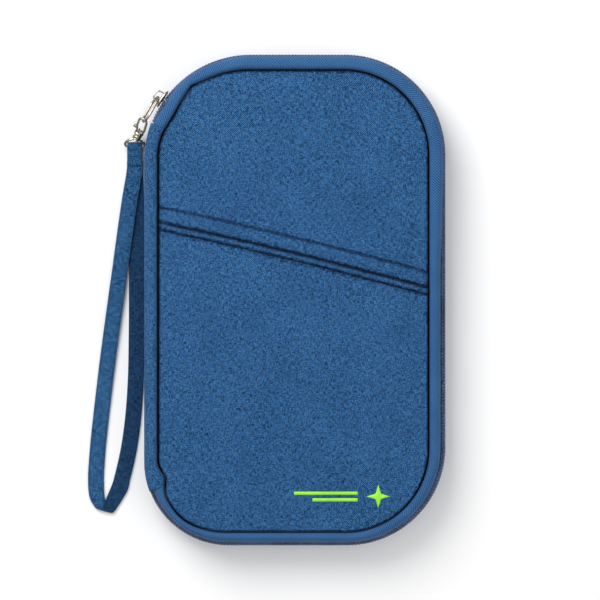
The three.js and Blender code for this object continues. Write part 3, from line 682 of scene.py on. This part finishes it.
def side_profile(track, lower, seam_height, bared):
    """Up the side from the zip or the spine's middle, then rolling in and down to the seam, in mm."""
    seam = seam_inset(track.angle) / MM
    ease = wander(track.xy, 16 * MM, 5.0) * 0.5 + wander(track.xy, 6 * MM, 6.0) * 0.25
    sections = []
    for s, e, b in zip(seam, ease, bared):
        outer = [(1.9 + b, 22.4 + e), (2.9 + b * 0.7, 23.5 + e)]
        rolled = [(s - 2.3, 24.1 + e * 0.6), (s - 1.2, 23.75), (s - 0.55, 22.9), (s - 0.35, seam_height)]
        sections.append(curve([(inward + b, z) for inward, z in lower] + outer + rolled, 30))
    return np.array(sections) * MM


tape_lower = [(1.95, 13.5), (1.9, 15.2), (1.3, 16.4), (0.95, 17.8), (1.0, 19.4), (1.5, 21.0)]
tape_section = thickened(side_profile(band, tape_lower, 21.8, teeth_bared(band)), TAPE_THICKNESS)
binding_low, binding_high = low("front_binding").z, high("front_binding").z
binding_middle = RIGHT - high("front_binding").x + 1.2 * MM
binding_section = rounded_section(1.8 * MM, binding_high - binding_low, power=0.6)
binding_section += (binding_middle, (binding_low + binding_high) / 2)

# One turn of the coil in mm: along the zip, inward, height above the middle.
HAIRPIN = np.array([(-0.3, 2.3, 2.3), (-0.36, 1.0, 2.5), (-0.36, 0.25, 2.0), (-0.2, 0.05, 1.0)])
HAIRPIN = np.vstack([HAIRPIN, [(0.0, 0.2, -0.05), (0.2, 0.6, 0.6), (0.34, 1.1, 1.7), (0.34, 2.3, 2.1)]])


def coil_row(name, track, side, offset):
    """The coil's turns on one tape; past the slider the two rows stand apart."""
    at = np.arange(1.5 * MM + offset, track.at[-1] - 1.5 * MM, TOOTH_PITCH)
    angle = np.interp(at, track.at, track.angle)
    out = np.column_stack([np.cos(angle), np.sin(angle), 0 * angle])
    ahead = np.column_stack([-np.sin(angle), np.cos(angle), 0 * angle])
    parted = np.clip((np.degrees(angle) - 360 - SLIDER_END) / 3, 0, 1)
    origin = np.column_stack([sampled(track.xy, track.at, at), MID_Z + side * 0.9 * MM * parted])
    return scatter(name, tube(HAIRPIN * MM, TOOTH_WIRE), origin, (ahead, -out, (0, 0, side)), COIL)


for cover, side in (("back", -1), ("front", 1)):
    body = f"{cover}_cover"
    piece = loft(f"{cover}_zip_gusset", band.sweep(on_cover(cover, tape_section)), TAPE)
    place(piece, body, "zip_tape", f"{cover}_zip_tape")
    piece = loft(f"{cover}_seam_binding", band.sweep(on_cover(cover, binding_section)), BINDING)
    place(piece, body, "lining_fabric", f"{cover}_binding")
    teeth = coil_row(f"{cover}_coil_turns", band, side, TOOTH_PITCH / 2 * (side > 0))
    place(teeth, body, "zip_coil", f"{cover}_zip_coil")
    path = on_cover(cover, band.sweep(np.array([[(1.75 * MM, 15.9 * MM)]]))[:, 0])
    place(stitches(f"{cover}_coil_stitch", path, COIL, radius=0.22 * MM), body, "zip_coil")

# ---- spine strip ----

spine_lower = [(-0.1, MID_Z / MM), (-0.1, 15.5), (-0.1, 18.4), (0.2, 20.4), (0.9, 21.8)]
spine_section = thickened(side_profile(spine, spine_lower, 21.8, 0 * spine.at), 0.9 * MM)
for cover in ("front", "back"):
    strip = loft(f"spine_{cover}_half", spine.sweep(on_cover(cover, spine_section)), CLOTH)
    strip.data.materials.append(LINING)
    outward = Vector((-1, 0, 1 if cover == "front" else -1))
    for polygon in strip.data.polygons:
        polygon.material_index = int(polygon.normal.dot(outward) < -0.2)
    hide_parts(f"{cover}_spine_edge", *(["spine_panel"] if cover == "back" else []))
    bend = [(-RIGHT, 0, 18.5 * MM), (-RIGHT + 5.5 * MM, 0, 23.5 * MM)]
    start, end = (tuple(on_cover(cover, point)) for point in bend)
    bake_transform(strip)

lining_arcs = [turned_on(top_left, 165, 180), turned_on(bottom_left, 180, 195)]
spine_inner = Track(lining_arcs, 2 * MM)
lining_z = np.linspace(low("spine_lining").z + 0.3 * MM, high("spine_lining").z - 0.3 * MM, 9)
lining_line = np.column_stack([1.6 * MM + 0.15 * MM * np.sin(3 * np.arange(9)), lining_z])
piece = loft("spine_inside", spine_inner.sweep(thickened(lining_line, 0.5 * MM)), LINING)
place(piece, "spine", "lining_fabric", "spine_lining")

pen_low, pen_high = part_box("pen_loop")
pen_middle = (pen_low + pen_high) / 2
pen_radius = (pen_high.x - pen_low.x) / 2
pen_y = np.linspace(pen_low.y + 0.2 * MM, pen_high.y - 0.2 * MM, 81)
pen_rib = 0.07 * MM * np.cos((pen_y - pen_low.y) / (1.3 * MM) * 2 * math.pi)
pen_outer = np.column_stack([pen_radius - 0.1 * MM + pen_rib, pen_y])
pen_inner = np.column_stack([pen_radius - 0.55 * MM + 0 * pen_y, pen_y])[::-1]
pen_profile = np.vstack([pen_outer, pen_inner])
pen_ring = circle(48, np.array([1, 0, 0]), np.array([0, 0, 1]))[:, None]
pen_points = pen_ring * pen_profile[:, :1] + pen_profile[:, 1:] * (0, 1, 0) + (pen_middle.x, 0, pen_middle.z)
place(loft("pen_elastic", pen_points, ELASTIC, closed_rows=True), "spine", "elastic", "pen_loop")

# ---- flat regions ----


def clipped(polygon, point, normal):
    """The part of a polygon on the side of a line that the normal points to."""
    inside = (polygon - point) @ np.array(normal)
    out = []
    for i in range(len(polygon)):
        a, b = polygon[i], polygon[(i + 1) % len(polygon)]
        da, db = inside[i], inside[(i + 1) % len(polygon)]
        if da >= 0:
            out.append(a)
        if (da >= 0) != (db >= 0):
            out.append(a + (b - a) * da / (da - db))
    return np.array(out)


def divided(polygon, step):
    out = []
    for a, b in zip(polygon, np.roll(polygon, -1, axis=0)):
        count = max(1, int(round(np.linalg.norm(b - a) / step)))
        if np.linalg.norm(b - a) > step / 20:
            out.extend(a + (b - a) * t for t in np.arange(count) / count)
    return np.array(out)


def inside_polygon(points, polygon):
    a, b = polygon, np.roll(polygon, -1, axis=0)
    x, y = points[:, :1], points[:, 1:2]
    straddles = (a[:, 1] > y) != (b[:, 1] > y)
    slope = (b[:, 0] - a[:, 0]) / np.where(a[:, 1] == b[:, 1], 1, b[:, 1] - a[:, 1])
    crossing = x < a[:, 0] + (y - a[:, 1]) * slope
    return (straddles & crossing).sum(axis=1) % 2 == 1


def nearest(points, line):
    """Distance to a dense line of points, and the nearest one."""
    gaps = ((points[:, None] - line[None]) ** 2).sum(2)
    return np.sqrt(gaps.min(1)), gaps.argmin(1)


def signed_area(polygon):
    ahead = np.roll(polygon, -1, axis=0)
    return 0.5 * np.sum(polygon[:, 0] * ahead[:, 1] - polygon[:, 1] * ahead[:, 0])


class Region:
    """A flat outline filled with triangles, closer together at its edge."""

    def __init__(self, polygon, spacing, rings=(), rows=None):
        edge = divided(polygon, spacing)
        if signed_area(edge) < 0:
            edge = edge[::-1]
        dense = divided(edge, spacing / 4)
        ahead = np.roll(edge, -1, axis=0) - np.roll(edge, 1, axis=0)
        inward = unit(np.column_stack([-ahead[:, 1], ahead[:, 0]]))
        layers = []
        for reach in np.array(rings) * MM:
            ring = edge + inward * reach
            layers.append(ring[(nearest(ring, dense)[0] > reach * 0.9) & inside_polygon(ring, edge)])
        lowest, highest = edge.min(0), edge.max(0)
        x, y = (np.arange(lowest[k], highest[k], spacing) for k in range(2))
        inner = np.array([(a + (i % 2) * spacing / 2, b) for i, b in enumerate(y) for a in x])
        room = (rings[-1] * MM if rings else 0) + spacing * 0.55
        inner = inner[inside_polygon(inner, edge)]
        inner = inner[nearest(inner, dense)[0] > room]
        if rows is not None:
            kept = rows[inside_polygon(rows, edge)]
            kept = kept[nearest(kept, dense)[0] > room]
            inner = np.vstack([inner[nearest(inner, kept)[0] > 0.5 * MM], kept])
        points = np.vstack([edge, *layers, inner]) / MM
        loop = list(range(len(edge)))
        filled = delaunay_2d_cdt([Vector(p) for p in points], [], [loop], 1, 1e-5)
        verts, _, faces, origins = filled[:4]
        self.xy = np.array([tuple(v) for v in verts]) * MM
        self.triangles = [tuple(f) for f in faces]
        found = {i: k for k, group in enumerate(origins) for i in group}
        self.rim = [found[i] for i in loop]
        self.depth, station = nearest(self.xy, dense)
        self.run = station * spacing / 4
        self.area = abs(signed_area(edge))
        self.size = tuple(highest - lowest)

    def tree(self, heights):
        """The surface at those heights, to cast rays at."""
        points = [(*p, z) for p, z in zip(self.xy.tolist(), heights)]
        return BVHTree.FromPolygons(points, self.triangles)

    def smoothed(self, heights, rounds):
        pairs = np.array([(f[i], f[(i + 1) % 3]) for f in self.triangles for i in range(3)])
        count = np.bincount(pairs.ravel(), minlength=len(heights))
        for _ in range(rounds):
            total = np.zeros(len(heights))
            np.add.at(total, pairs[:, 0], heights[pairs[:, 1]])
            np.add.at(total, pairs[:, 1], heights[pairs[:, 0]])
            heights = 0.4 * heights + 0.6 * total / count
        return heights

    def skin(self, name, lower, upper, material):
        """A closed piece between two heights, given at each point."""
        count = len(self.xy)
        bottom = np.column_stack([self.xy, np.broadcast_to(lower, count)])
        top = np.column_stack([self.xy, np.broadcast_to(upper, count)])
        faces = list(self.triangles)
        faces += [tuple(v + count for v in f[::-1]) for f in self.triangles]
        for a, b in zip(self.rim, self.rim[1:] + self.rim[:1]):
            faces.append((a, b, b + count, a + count))
        cloth = np.vstack([bottom, top]) / MM
        cloth[:, 2] = 0
        return build(name, np.vstack([bottom, top]), faces, material, cloth)


def paint_crease_shade(obj, depth):
    """Stores painted shade, 0 to 1, for creases, seams and edges, as the third number of its cloth
    attribute.
    """
    attribute = obj.data.attributes["cloth"]
    values = np.zeros(3 * len(obj.data.vertices))
    attribute.data.foreach_get("vector", values)
    values[2::3] = np.tile(np.clip(depth, 0, 1), 2)
    attribute.data.foreach_set("vector", values)


def rounding(depth, radius):
    """1 at the edge, falling to 0 at the radius, as the quarter of a circle drops."""
    t = np.clip(1 - depth / radius, 0, 1)
    return 1 - np.sqrt(1 - t * t)

def height_on(tree, xy, missed=None):
    """The height of a surface under each point."""
    out = []
    for x, y in xy:
        hit = tree.ray_cast(Vector((x, y, 2 * THICK)), Vector((0, 0, -1)))[0]
        if hit is None and missed is None:
            hit = tree.find_nearest(Vector((x, y, THICK)))[0]
        out.append(hit.z if hit else missed)
    return np.array(out)
# ---- the padded front ----

seam_line = outline.inset(seam_inset(outline.angle) + SEAM_GAP)


PAD_DEPTH = 6.2 * MM  # the stuffed shell that is simulated
PAD_STEPS = 20


def swollen_top(region):
    """The front's crowned height at each point, from a cloth simulation of its stuffed shell."""
    coarse = Region(seam_line, 4 * MM, rings=(1.5,))
    drop = 3.0 * MM * rounding(coarse.depth, 4.5 * MM)
    shell = coarse.skin("shell", CROWN_START - PAD_DEPTH + drop, CROWN_START - drop, CLOTH)
    remesh = shell.modifiers.new("remesh", "REMESH")
    remesh.mode = "VOXEL"
    remesh.voxel_size = 3.6 * MM
    bpy.context.view_layer.update()
    graph = bpy.context.evaluated_depsgraph_get()
    mesh = bpy.data.meshes.new_from_object(shell.evaluated_get(graph))
    bpy.data.objects.remove(shell)
    pad = added("pad", mesh)
    rest = np.array([v.co for v in mesh.vertices])
    sewn = pad.vertex_groups.new(name="sewn")
    near_seam = nearest(rest[:, :2], divided(seam_line, 1 * MM))[0] < 2.2 * MM
    sewn.add([int(i) for i in np.flatnonzero(near_seam)], 1.0, "REPLACE")
    cloth = pad.modifiers.new("cloth", "CLOTH")
    cloth.settings.use_pressure = True
    cloth.settings.uniform_pressure_force = 4.0
    cloth.settings.effector_weights.gravity = 0
    cloth.settings.vertex_group_mass = "sewn"
    cloth.point_cache.frame_end = PAD_STEPS
    for step in range(1, PAD_STEPS + 1):
        bpy.context.scene.frame_set(step)
    graph = bpy.context.evaluated_depsgraph_get()
    moved = np.array([v.co for v in pad.evaluated_get(graph).data.vertices]) - rest
    reach = np.linalg.norm(moved, axis=1)
    moved *= np.minimum(1, CROWN_CAP / np.maximum(reach, 1e-9))[:, None]
    pad.modifiers.remove(cloth)
    mesh.vertices.foreach_set("co", (rest + moved).ravel())
    pad.modifiers.new("smooth", "SUBSURF").levels = 1
    bpy.context.scene.frame_set(1)
    tree = BVHTree.FromObject(pad, bpy.context.evaluated_depsgraph_get())
    heights = height_on(tree, region.xy, CROWN_START - 2 * MM)
    bpy.data.objects.remove(pad)
    return region.smoothed(heights, 5)


mouth_points = vertices("front_pocket_panel")
mouth_left = mouth_points[mouth_points[:, 0] < mouth_points[:, 0].min() + 0.2 * MM]
mouth_right = mouth_points[mouth_points[:, 0] > mouth_points[:, 0].max() - 0.2 * MM]
MOUTH_START = np.array([mouth_left[:, 0].min(), mouth_left[:, 1].max()])
MOUTH_END = np.array([mouth_right[:, 0].max(), mouth_right[:, 1].max()])
MOUTH_LENGTH = np.linalg.norm(MOUTH_END - MOUTH_START)
mouth_heading = (MOUTH_END - MOUTH_START) / MOUTH_LENGTH
mouth_down = np.array([mouth_heading[1], -mouth_heading[0]])
MOUTH_BOW = 0.9 * MM  # how far the mouth rises above a straight line
HEM_WIDTH = 2.6 * MM
HEM_STITCH = 3.1 * MM
TOP_STITCH = -7.7 * MM  # the second row of stitches, above the mouth
PUCKER = 0.3 * MM


def mouth_bow(t):
    return MOUTH_BOW * np.sin(np.clip(t, 0, 1) * math.pi)


def below_mouth(xy):
    """How far a point lies below the slanted mouth; above it is negative."""
    reach = xy - MOUTH_START
    return reach @ mouth_down + mouth_bow(reach @ mouth_heading / MOUTH_LENGTH)


def groove(distance, at, width, depth):
    return -depth * bell(distance, at, width)


def rows_along_mouth(offsets):
    """Points in rows beside the slanted mouth, at distances below it."""
    t = np.arange(-0.03, 1.03, 1 * MM / MOUTH_LENGTH)[:, None]
    line = MOUTH_START + (MOUTH_END - MOUTH_START) * t
    return np.vstack([line + mouth_down * (offset - mouth_bow(t)) for offset in offsets])


stitch_rows = TOP_STITCH + np.array([-1.3, -0.7, 0.0, 0.7, 1.3]) * MM
mouth_rows = np.array([-1.9, -1.2, -0.5, 0.2]) * MM
rows = rows_along_mouth([*stitch_rows, *mouth_rows])
front = Region(seam_line, 1.5 * MM, rings=(0.3, 0.7, 1.2, 1.8, 2.5), rows=rows)
crown = swollen_top(front)
edge_drop = 2.0 * MM * rounding(front.depth, 2.8 * MM)
ruffle = np.array([noise.noise(Vector((r / (5 * MM), 0, 9.0))) for r in front.run])
pucker = PUCKER * ruffle * np.exp(-front.depth / (3.5 * MM))
drape = 0.35 * MM * wander(front.xy, 38 * MM, 1.0) + 0.16 * MM * wander(front.xy, 11 * MM, 2.0)
under = below_mouth(front.xy)
seams = groove(under, TOP_STITCH, 0.7 * MM, 0.7 * MM) + groove(under, -0.4 * MM, 0.8 * MM, 0.8 * MM)
seams -= groove(under, TOP_STITCH + 2.5 * MM, 1.6 * MM, 0.15 * MM)
front_top = np.maximum(crown - edge_drop + pucker + drape + seams, PANEL_LOW + 0.8 * MM)
upper_cloth = front.skin("front_padded_cover", PANEL_LOW, front_top, CLOTH)
front_nodes = "front_upper_panel", "front_padding", "front_pocket_lining"
place(upper_cloth, "front_cover", "heather_fabric", *front_nodes)
# Painted shade: the cover's colour darkens along its edge at the seam, in the groove of the upper stitch row
# and just above the pocket's mouth.
seam_shade = groove(under, TOP_STITCH, 0.6 * MM, 0.9) + groove(under, -0.5 * MM, 0.8 * MM, 1.0)
paint_crease_shade(upper_cloth, 0.7 * bell(front.depth, 0, 0.7 * MM) - seam_shade)
front_tree = front.tree(front_top)
# The slanted pocket: a rolled, stitched mouth, then cloth that follows the padding.
pocket_edge = divided(seam_line, 1 * MM)
pocket_edge = pocket_edge[below_mouth(pocket_edge) > 0]
split = int(np.argmax(np.linalg.norm(np.roll(pocket_edge, -1, axis=0) - pocket_edge, axis=1))) + 1
pocket_edge = np.roll(pocket_edge, -split, axis=0)
mouth_t = np.linspace(0, 1, 110)[1:-1, None]
mouth_line = pocket_edge[-1] + (pocket_edge[0] - pocket_edge[-1]) * mouth_t
mouth_line -= mouth_down * below_mouth(mouth_line)[:, None]
pocket_rings = (0.3, 0.8, 1.4, 2.0, 2.6, 3.1, 3.7)
pocket = Region(np.vstack([pocket_edge, mouth_line]), 1.5 * MM, rings=pocket_rings)
pocket_under = below_mouth(pocket.xy)
roll = np.sqrt(np.clip(1 - ((pocket_under / HEM_WIDTH) * 2 - 1) ** 2, 0, 1))
seat = pocket.smoothed(height_on(front_tree, pocket.xy), 4)
pocket_base = seat + 0.05 * MM
sunk = groove(pocket_under, HEM_STITCH, 0.55 * MM, 0.9 * MM)
slack = 0.3 * MM * (0.5 + wander(pocket.xy, 30 * MM, 4.0)) * bell(pocket_under, 14 * MM, 16 * MM)
pocket_top = seat + 0.7 * MM + 1.0 * MM * roll + sunk + slack - 0.35 * MM * rounding(pocket.depth, 1.0 * MM)
pocket_top += 0.1 * MM * wander(pocket.xy, 8 * MM, 8.0)
pocket_skin = np.maximum(pocket_top, pocket_base + 0.3 * MM)
pocket_cloth = pocket.skin("front_slant_pocket", pocket_base, pocket_skin, CLOTH)
place(pocket_cloth, "front_cover", "heather_fabric", "front_pocket_panel")
# Painted shade: the pocket's colour darkens along its edges and in the groove of its mouth stitches.
pocket_shade = 0.7 * bell(pocket.depth, 0, 0.6 * MM)
paint_crease_shade(pocket_cloth, pocket_shade - groove(pocket_under, HEM_STITCH, 0.55 * MM, 1.0))
pocket_tree = pocket.tree(pocket_top)


def slanted_row(name, offset, tree, lift):
    """Stitches parallel to the pocket's mouth."""
    across = mouth_line[::-1] + mouth_down * offset
    across = across[nearest(across, divided(seam_line, 1 * MM))[0] > 1.5 * MM]
    across = across[inside_polygon(across, seam_line)]
    path = np.column_stack([across, height_on(tree, across) + lift])
    return place(stitches(name, path, THREAD, radius=0.26 * MM), "front_cover", "heather_fabric")


slanted_row("mouth_stitch", HEM_STITCH, pocket_tree, 0.08 * MM)
slanted_row("upper_stitch", TOP_STITCH, front_tree, 0.05 * MM)

# ---- the printed mark ----


def printed(name, node, polygon):
    mark = Region(polygon, 0.9 * MM)
    base = height_on(pocket_tree, mark.xy)
    piece = mark.skin(name, base + 0.01 * MM, base + 0.12 * MM, INK)
    place(piece, "front_cover", "print", node)


STAR_WAIST = 0.33  # how far in the star's inner corners lie
star_box = rectangle("mark_star")
star_reach = np.where(np.arange(8) % 2, STAR_WAIST, 1.0)[:, None] * (star_box[1, 0] - star_box[0, 0]) / 2
star = (star_box[0] + star_box[2]) / 2 + star_reach * circle(8, np.array([1, 0]), np.array([0, 1]))
printed("compass_star", "mark_star", star)
for row in ("upper", "lower"):
    printed(f"print_bar_{row}", f"mark_bar_{row}", rectangle(f"mark_bar_{row}"))

# ---- the back, and the layers inside ----

BACK_HIGH = THICK - PANEL_LOW
back_top = np.clip(THICK - front_top - 0.2 * MM, 0.0, BACK_HIGH - 0.8 * MM)
back_cloth = front.skin("back_padded_cover", back_top, BACK_HIGH, CLOTH)
place(back_cloth, "back_cover", "heather_fabric", "back_panel", "back_padding")


def layer(name, node, inset, material, slot, wave, edge):
    """A flat layer of a cover, waving a little, with soft edges."""
    body = "front_cover" if node.startswith("front") else "back_cover"
    region = Region(outline.inset(inset), 3 * MM, rings=(0.4, 1.1))
    a, b = low(node).z, high(node).z
    sway = wave * wander(region.xy, 24 * MM, 12.0)
    soft = edge * rounding(region.depth, 1.5 * MM)
    piece = region.skin(name, a + soft + sway, b - soft + sway, material)
    return place(piece, body, slot, node), region


for cover in ("back", "front"):
    layer(f"{cover}_stiffener", f"{cover}_board", BOARD_INSET, BOARD, "stiffener_board", 0, 0.3 * MM)
    names = f"{cover}_inner_cloth", f"{cover}_lining"
    piece, region = layer(*names, LINING_INSET, LINING, "lining_fabric", 0.12 * MM, 0.15 * MM)

HEM_DEPTH = 5.0 * MM


def inside_pocket(node, body):
    """A sewn pocket front: a doubled hem at its mouth with a row of stitches, and a slight sag."""
    a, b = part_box(node)
    polygon = outline.inset(LINING_INSET + 1.0 * MM)
    for point, normal in (((0, a.y), (0, 1)), ((0, b.y), (0, -1)), ((a.x, 0), (1, 0))):
        polygon = clipped(polygon, point, normal)
    region = Region(polygon, 2.6 * MM, rings=(0.4, 1.2))
    from_mouth = b.y - region.xy[:, 1]
    hem = 0.22 * MM * (1 / (1 + np.exp((from_mouth - HEM_DEPTH) / (0.4 * MM))))
    sway = 0.12 * MM * wander(region.xy, 20 * MM, b.y * 100)
    soft = 0.2 * MM * rounding(region.depth, 1.2 * MM)
    facing = 1 if body == "back_cover" else -1
    near, far = (b.z, a.z) if facing > 0 else (a.z, b.z)
    inner, outer = near + facing * (hem - soft - 0.1 * MM) + sway, far + facing * 0.05 * MM + sway
    piece = region.skin(f"{node}_cloth", np.minimum(inner, outer), np.maximum(inner, outer), LINING)
    place(piece, body, "lining_fabric", node)
    level, y = near + facing * 0.05 * MM, b.y - HEM_DEPTH + 0.8 * MM
    line = np.array([(x, y, level) for x in np.linspace(a.x + 3 * MM, b.x - 3 * MM, 60)])
    place(stitches(f"{node}_hem", line, LINING_THREAD, facing), body, "lining_fabric")


for node in ("document_pocket", "boarding_pass_pocket", "passport_pocket"):
    inside_pocket(node, "back_cover")
for node in ("card_slot_1", "card_slot_2", "card_slot_3", "coin_pocket_panel"):
    inside_pocket(node, "front_cover")

# ---- coin pocket zip ----

COIN_PITCH = 1.0 * MM
coin_y = (low("coin_zip_tape_lower").y + high("coin_zip_tape_upper").y) / 2
# One turn of the small coil in mm: along the zip, inward, depth.
COIN_TURN = np.array([(-0.14, 1.45, 0.1), (-0.2, 0.7, 0.0), (-0.1, 0.1, 0.3), (0.0, -0.1, 0.5)])
COIN_TURN = np.vstack([COIN_TURN, [(0.1, 0.1, 0.7), (0.2, 0.7, 0.85), (0.14, 1.45, 0.8)]])
for row, side in (("upper", 1), ("lower", -1)):
    a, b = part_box(f"coin_zip_tape_{row}")
    strip = Region(rectangle(f"coin_zip_tape_{row}"), 1.2 * MM, rings=(0.3,))
    soft = 0.15 * MM * rounding(strip.depth, 0.8 * MM)
    piece = strip.skin(f"coin_tape_{row}", a.z + 0.1 * MM + soft, b.z - 0.05 * MM, TAPE)
    place(piece, "front_cover", "zip_tape", f"coin_zip_tape_{row}")
    c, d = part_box(f"coin_zip_coil_{row}")
    at = np.arange(c.x + 0.8 * MM + (side > 0) * COIN_PITCH / 2, d.x - 0.8 * MM, COIN_PITCH)
    origin = np.column_stack([at, np.full(len(at), coin_y), np.full(len(at), d.z)])
    axes = ((1, 0, 0), (0, side, 0), (0, 0, -1))
    teeth = scatter(f"coin_coil_{row}", tube(COIN_TURN * MM, 0.17 * MM), origin, axes, COIL)
    place(teeth, "front_cover", "zip_coil", f"coin_zip_coil_{row}")
    y = (a.y + b.y) / 2 + side * 1.1 * MM
    line = np.array([(x, y, a.z + 0.02 * MM) for x in np.linspace(a.x, b.x, 60)])
    place(stitches(f"coin_tape_stitch_{row}", line, LINING_THREAD, -1), "front_cover", "zip_tape")

# ---- metal ----


def cast(node, material, voxel, rounds):
    """A CAD metal part with its edges rounded off, as cast and tumbled metal is."""
    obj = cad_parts[node]
    obj.data.materials.clear()
    obj.data.materials.append(material)
    remesh = obj.modifiers.new("cast", "REMESH")
    remesh.mode = "VOXEL"
    remesh.voxel_size = voxel
    remesh.use_smooth_shade = True
    smooth = obj.modifiers.new("tumbled", "SMOOTH")
    smooth.factor = 0.5
    smooth.iterations = rounds


for node in ("clasp_hook", "clasp_gate"):
    cast(node, NICKEL, 0.12 * MM, 4)
for node in ("coin_slider_body", "coin_puller_tab"):
    cast(node, NICKEL, 0.14 * MM, 5)
cast("gate_spring", STEEL, 0.06 * MM, 2)

def plated(name, rows, body, *nodes, closed_rows=False):
    place(loft(name, np.array(rows), NICKEL, closed_rows), body, "nickel_metal", *nodes)


slider_points = vertices("slider_body")
corner_middle = np.array([*top_left[:2], MID_Z])
slider_arm = slider_points[:, :2] - corner_middle[:2]
slider_reach = np.linalg.norm(slider_arm, axis=1)
slider_heading = np.arctan2(*slider_arm.mean(axis=0)[::-1])
slider_half = np.ptp(np.unwrap(np.arctan2(slider_arm[:, 1], slider_arm[:, 0]))) / 2
slider_tall = np.ptp(slider_points[:, 2])
PLATE = 1.1 * MM
PLATE_CROWN = 0.5 * MM
BRIDGE_TALL = 1.0 * MM


def curved_plate(name, inner, outer, tall, half, *nodes, crown=0.0):
    """A slider plate bent to the corner, thicker in its middle, with rounded ends."""
    rows = []
    for t in np.linspace(-1, 1, 25):
        narrow = math.sqrt(max(0.0, 1 - abs(t) ** 5))
        thick = outer - inner + crown * (1 - t * t)
        section = rounded_section(thick * max(narrow, 0.3), tall * max(narrow, 0.25) * (1 - 0.12 * t * t))
        reach = (inner + outer) / 2 + crown * (1 - t * t) / 2 + section[:, 0]
        angle = slider_heading + half * t
        points = np.column_stack([reach * math.cos(angle), reach * math.sin(angle), section[:, 1]])
        rows.append(points + corner_middle)
    plated(name, rows, "slider", *nodes)


rim, core = slider_reach.max(), slider_reach.min()
plate = slider_tall, slider_half
curved_plate("slider_outer_plate", rim - PLATE, rim, *plate, "slider_body", crown=PLATE_CROWN)
curved_plate("slider_inner_plate", core, core + PLATE, *plate)
curved_plate("slider_bridge", core + 0.3 * MM, rim - 0.3 * MM, BRIDGE_TALL, slider_half / 3)


def bail_arch(thick=0.75 * MM):
    """The arch on the slider that the puller's ring hangs in."""
    points = vertices("slider_bail")
    outward = np.array([math.cos(slider_heading), math.sin(slider_heading), 0])
    ahead = np.array([-outward[1], outward[0], 0])
    reach, shift = (points - corner_middle) @ outward, (points - corner_middle) @ ahead
    foot, crest, span = reach.min(), reach.max() - 0.5 * MM, np.ptp(shift) / 2 - 0.45 * MM
    line = [(-span, foot), (-span, foot + 1.2 * MM)]
    line += [(-span * 0.86, crest - 0.7 * MM), (-span * 0.45, crest)]
    line += [(0, crest + 0.05 * MM)] + [(-a, b) for a, b in line[::-1]]
    path = curve(line, 41)
    heading = unit(np.gradient(path, axis=0))
    across = np.column_stack([-heading[:, 1], heading[:, 0]]) @ (ahead, outward)
    section = rounded_section(thick, np.ptp(points[:, 2]) * 0.95)
    rows = carried(corner_middle + path @ (ahead, outward), section, across, np.array([(0, 0, 1)]))
    plated("slider_arch", rows, "slider", "slider_bail")


def puller_loop(wire=1.2 * MM):
    """The puller: a long wire ring with round ends."""
    points = vertices("puller_ring")
    middle = (points.max(0) + points.min(0)) / 2
    _, _, (long_axis, wide_axis, flat_axis) = np.linalg.svd(points - points.mean(0), full_matrices=False)
    if long_axis[1] > 0:
        long_axis = -long_axis
    half_long, half_wide = ((np.ptp(points @ axis) - wire) / 2 for axis in (long_axis, wide_axis))
    section = rounded_section(wire, wire, power=0.85)
    angle = np.concatenate([np.linspace(-0.5, 0.5, 32), np.linspace(0.5, 1.5, 32)]) * math.pi
    across = np.column_stack([np.cos(angle), np.sin(angle)]) @ (long_axis, wide_axis)
    straight = np.repeat([1, -1], 32)[:, None] * (half_long - half_wide) * long_axis
    rows = carried(middle + straight + across * half_wide, section, across, flat_axis[None])
    plated("puller_loop", rows, "puller", "puller_ring", closed_rows=True)


# The swivel's turned collar in mm: radius and run.
SWIVEL_PROFILE = [(0.0, 0.0), (1.3, 0.05), (2.0, 0.25), (2.15, 0.6), (1.9, 0.95), (1.45, 1.15)]
SWIVEL_PROFILE += [(1.5, 1.35), (1.85, 1.6), (1.75, 2.0), (1.2, 2.4), (0.0, 2.5)]
EYE_WIRE = 0.62 * MM


def swivel_eye():
    """The swivel: a turned collar, and the wire eye that the strap is sewn round."""
    points = vertices("swivel_loop")
    axis = unit(bar - points.mean(axis=0))
    crown = bar + axis * ((points - bar) @ axis).min()
    flat = unit(np.array([1.0, 0, 0]) - axis * axis[0])
    ring = circle(32, flat, np.cross(axis, flat))
    profile = curve(SWIVEL_PROFILE, 40) * MM
    rows = [crown + axis * run + max(radius, 0.02 * MM) * ring for radius, run in profile]
    plated("swivel_collar", rows, "swivel")
    root = crown + axis * 1.7 * MM
    legs = []
    for side in (1, -1):
        out, end = side * flat * MM, np.array([side * (STRAP_WIDTH / 2 + 0.7 * MM), 0, 0])
        leg = [root, root + out * 2.0 + axis * 0.4 * MM, root + out * 3.7 + axis * 1.6 * MM]
        leg += [bar + end + (0, 1.6 * MM, 0.9 * MM), bar + end * 0.97 + (0, 0.3 * MM, 0.1 * MM)]
        legs.append(leg + [bar + end * 0.8])
    wire = curve(legs[0] + [bar] + legs[1][::-1], 120)
    place(build("swivel_wire", *tube(wire, EYE_WIRE, 12), NICKEL), "swivel", "nickel_metal", "swivel_loop")


swivel_eye()
bail_arch()
puller_loop()

# ---- floor ----

FLOOR_HALF = 3.0
floor_finish = Finish("floor", {"Roughness": 0.9})
floor_tone = {0: floor_finish.noise(floor_finish.place(), 6.0), 1: 0.3, 2: 0.7, 3: 0.9, 4: 0.93}
floor_finish.colour(floor_finish.add("ShaderNodeMapRange", floor_tone).outputs[0])
floor_corners = np.array([(-1, -1, 0), (1, -1, 0), (1, 1, 0), (-1, 1, 0)]) * FLOOR_HALF
floor = build("floor", floor_corners - (0, 0, 0.05 * MM), [(0, 1, 2, 3)], floor_finish.material)
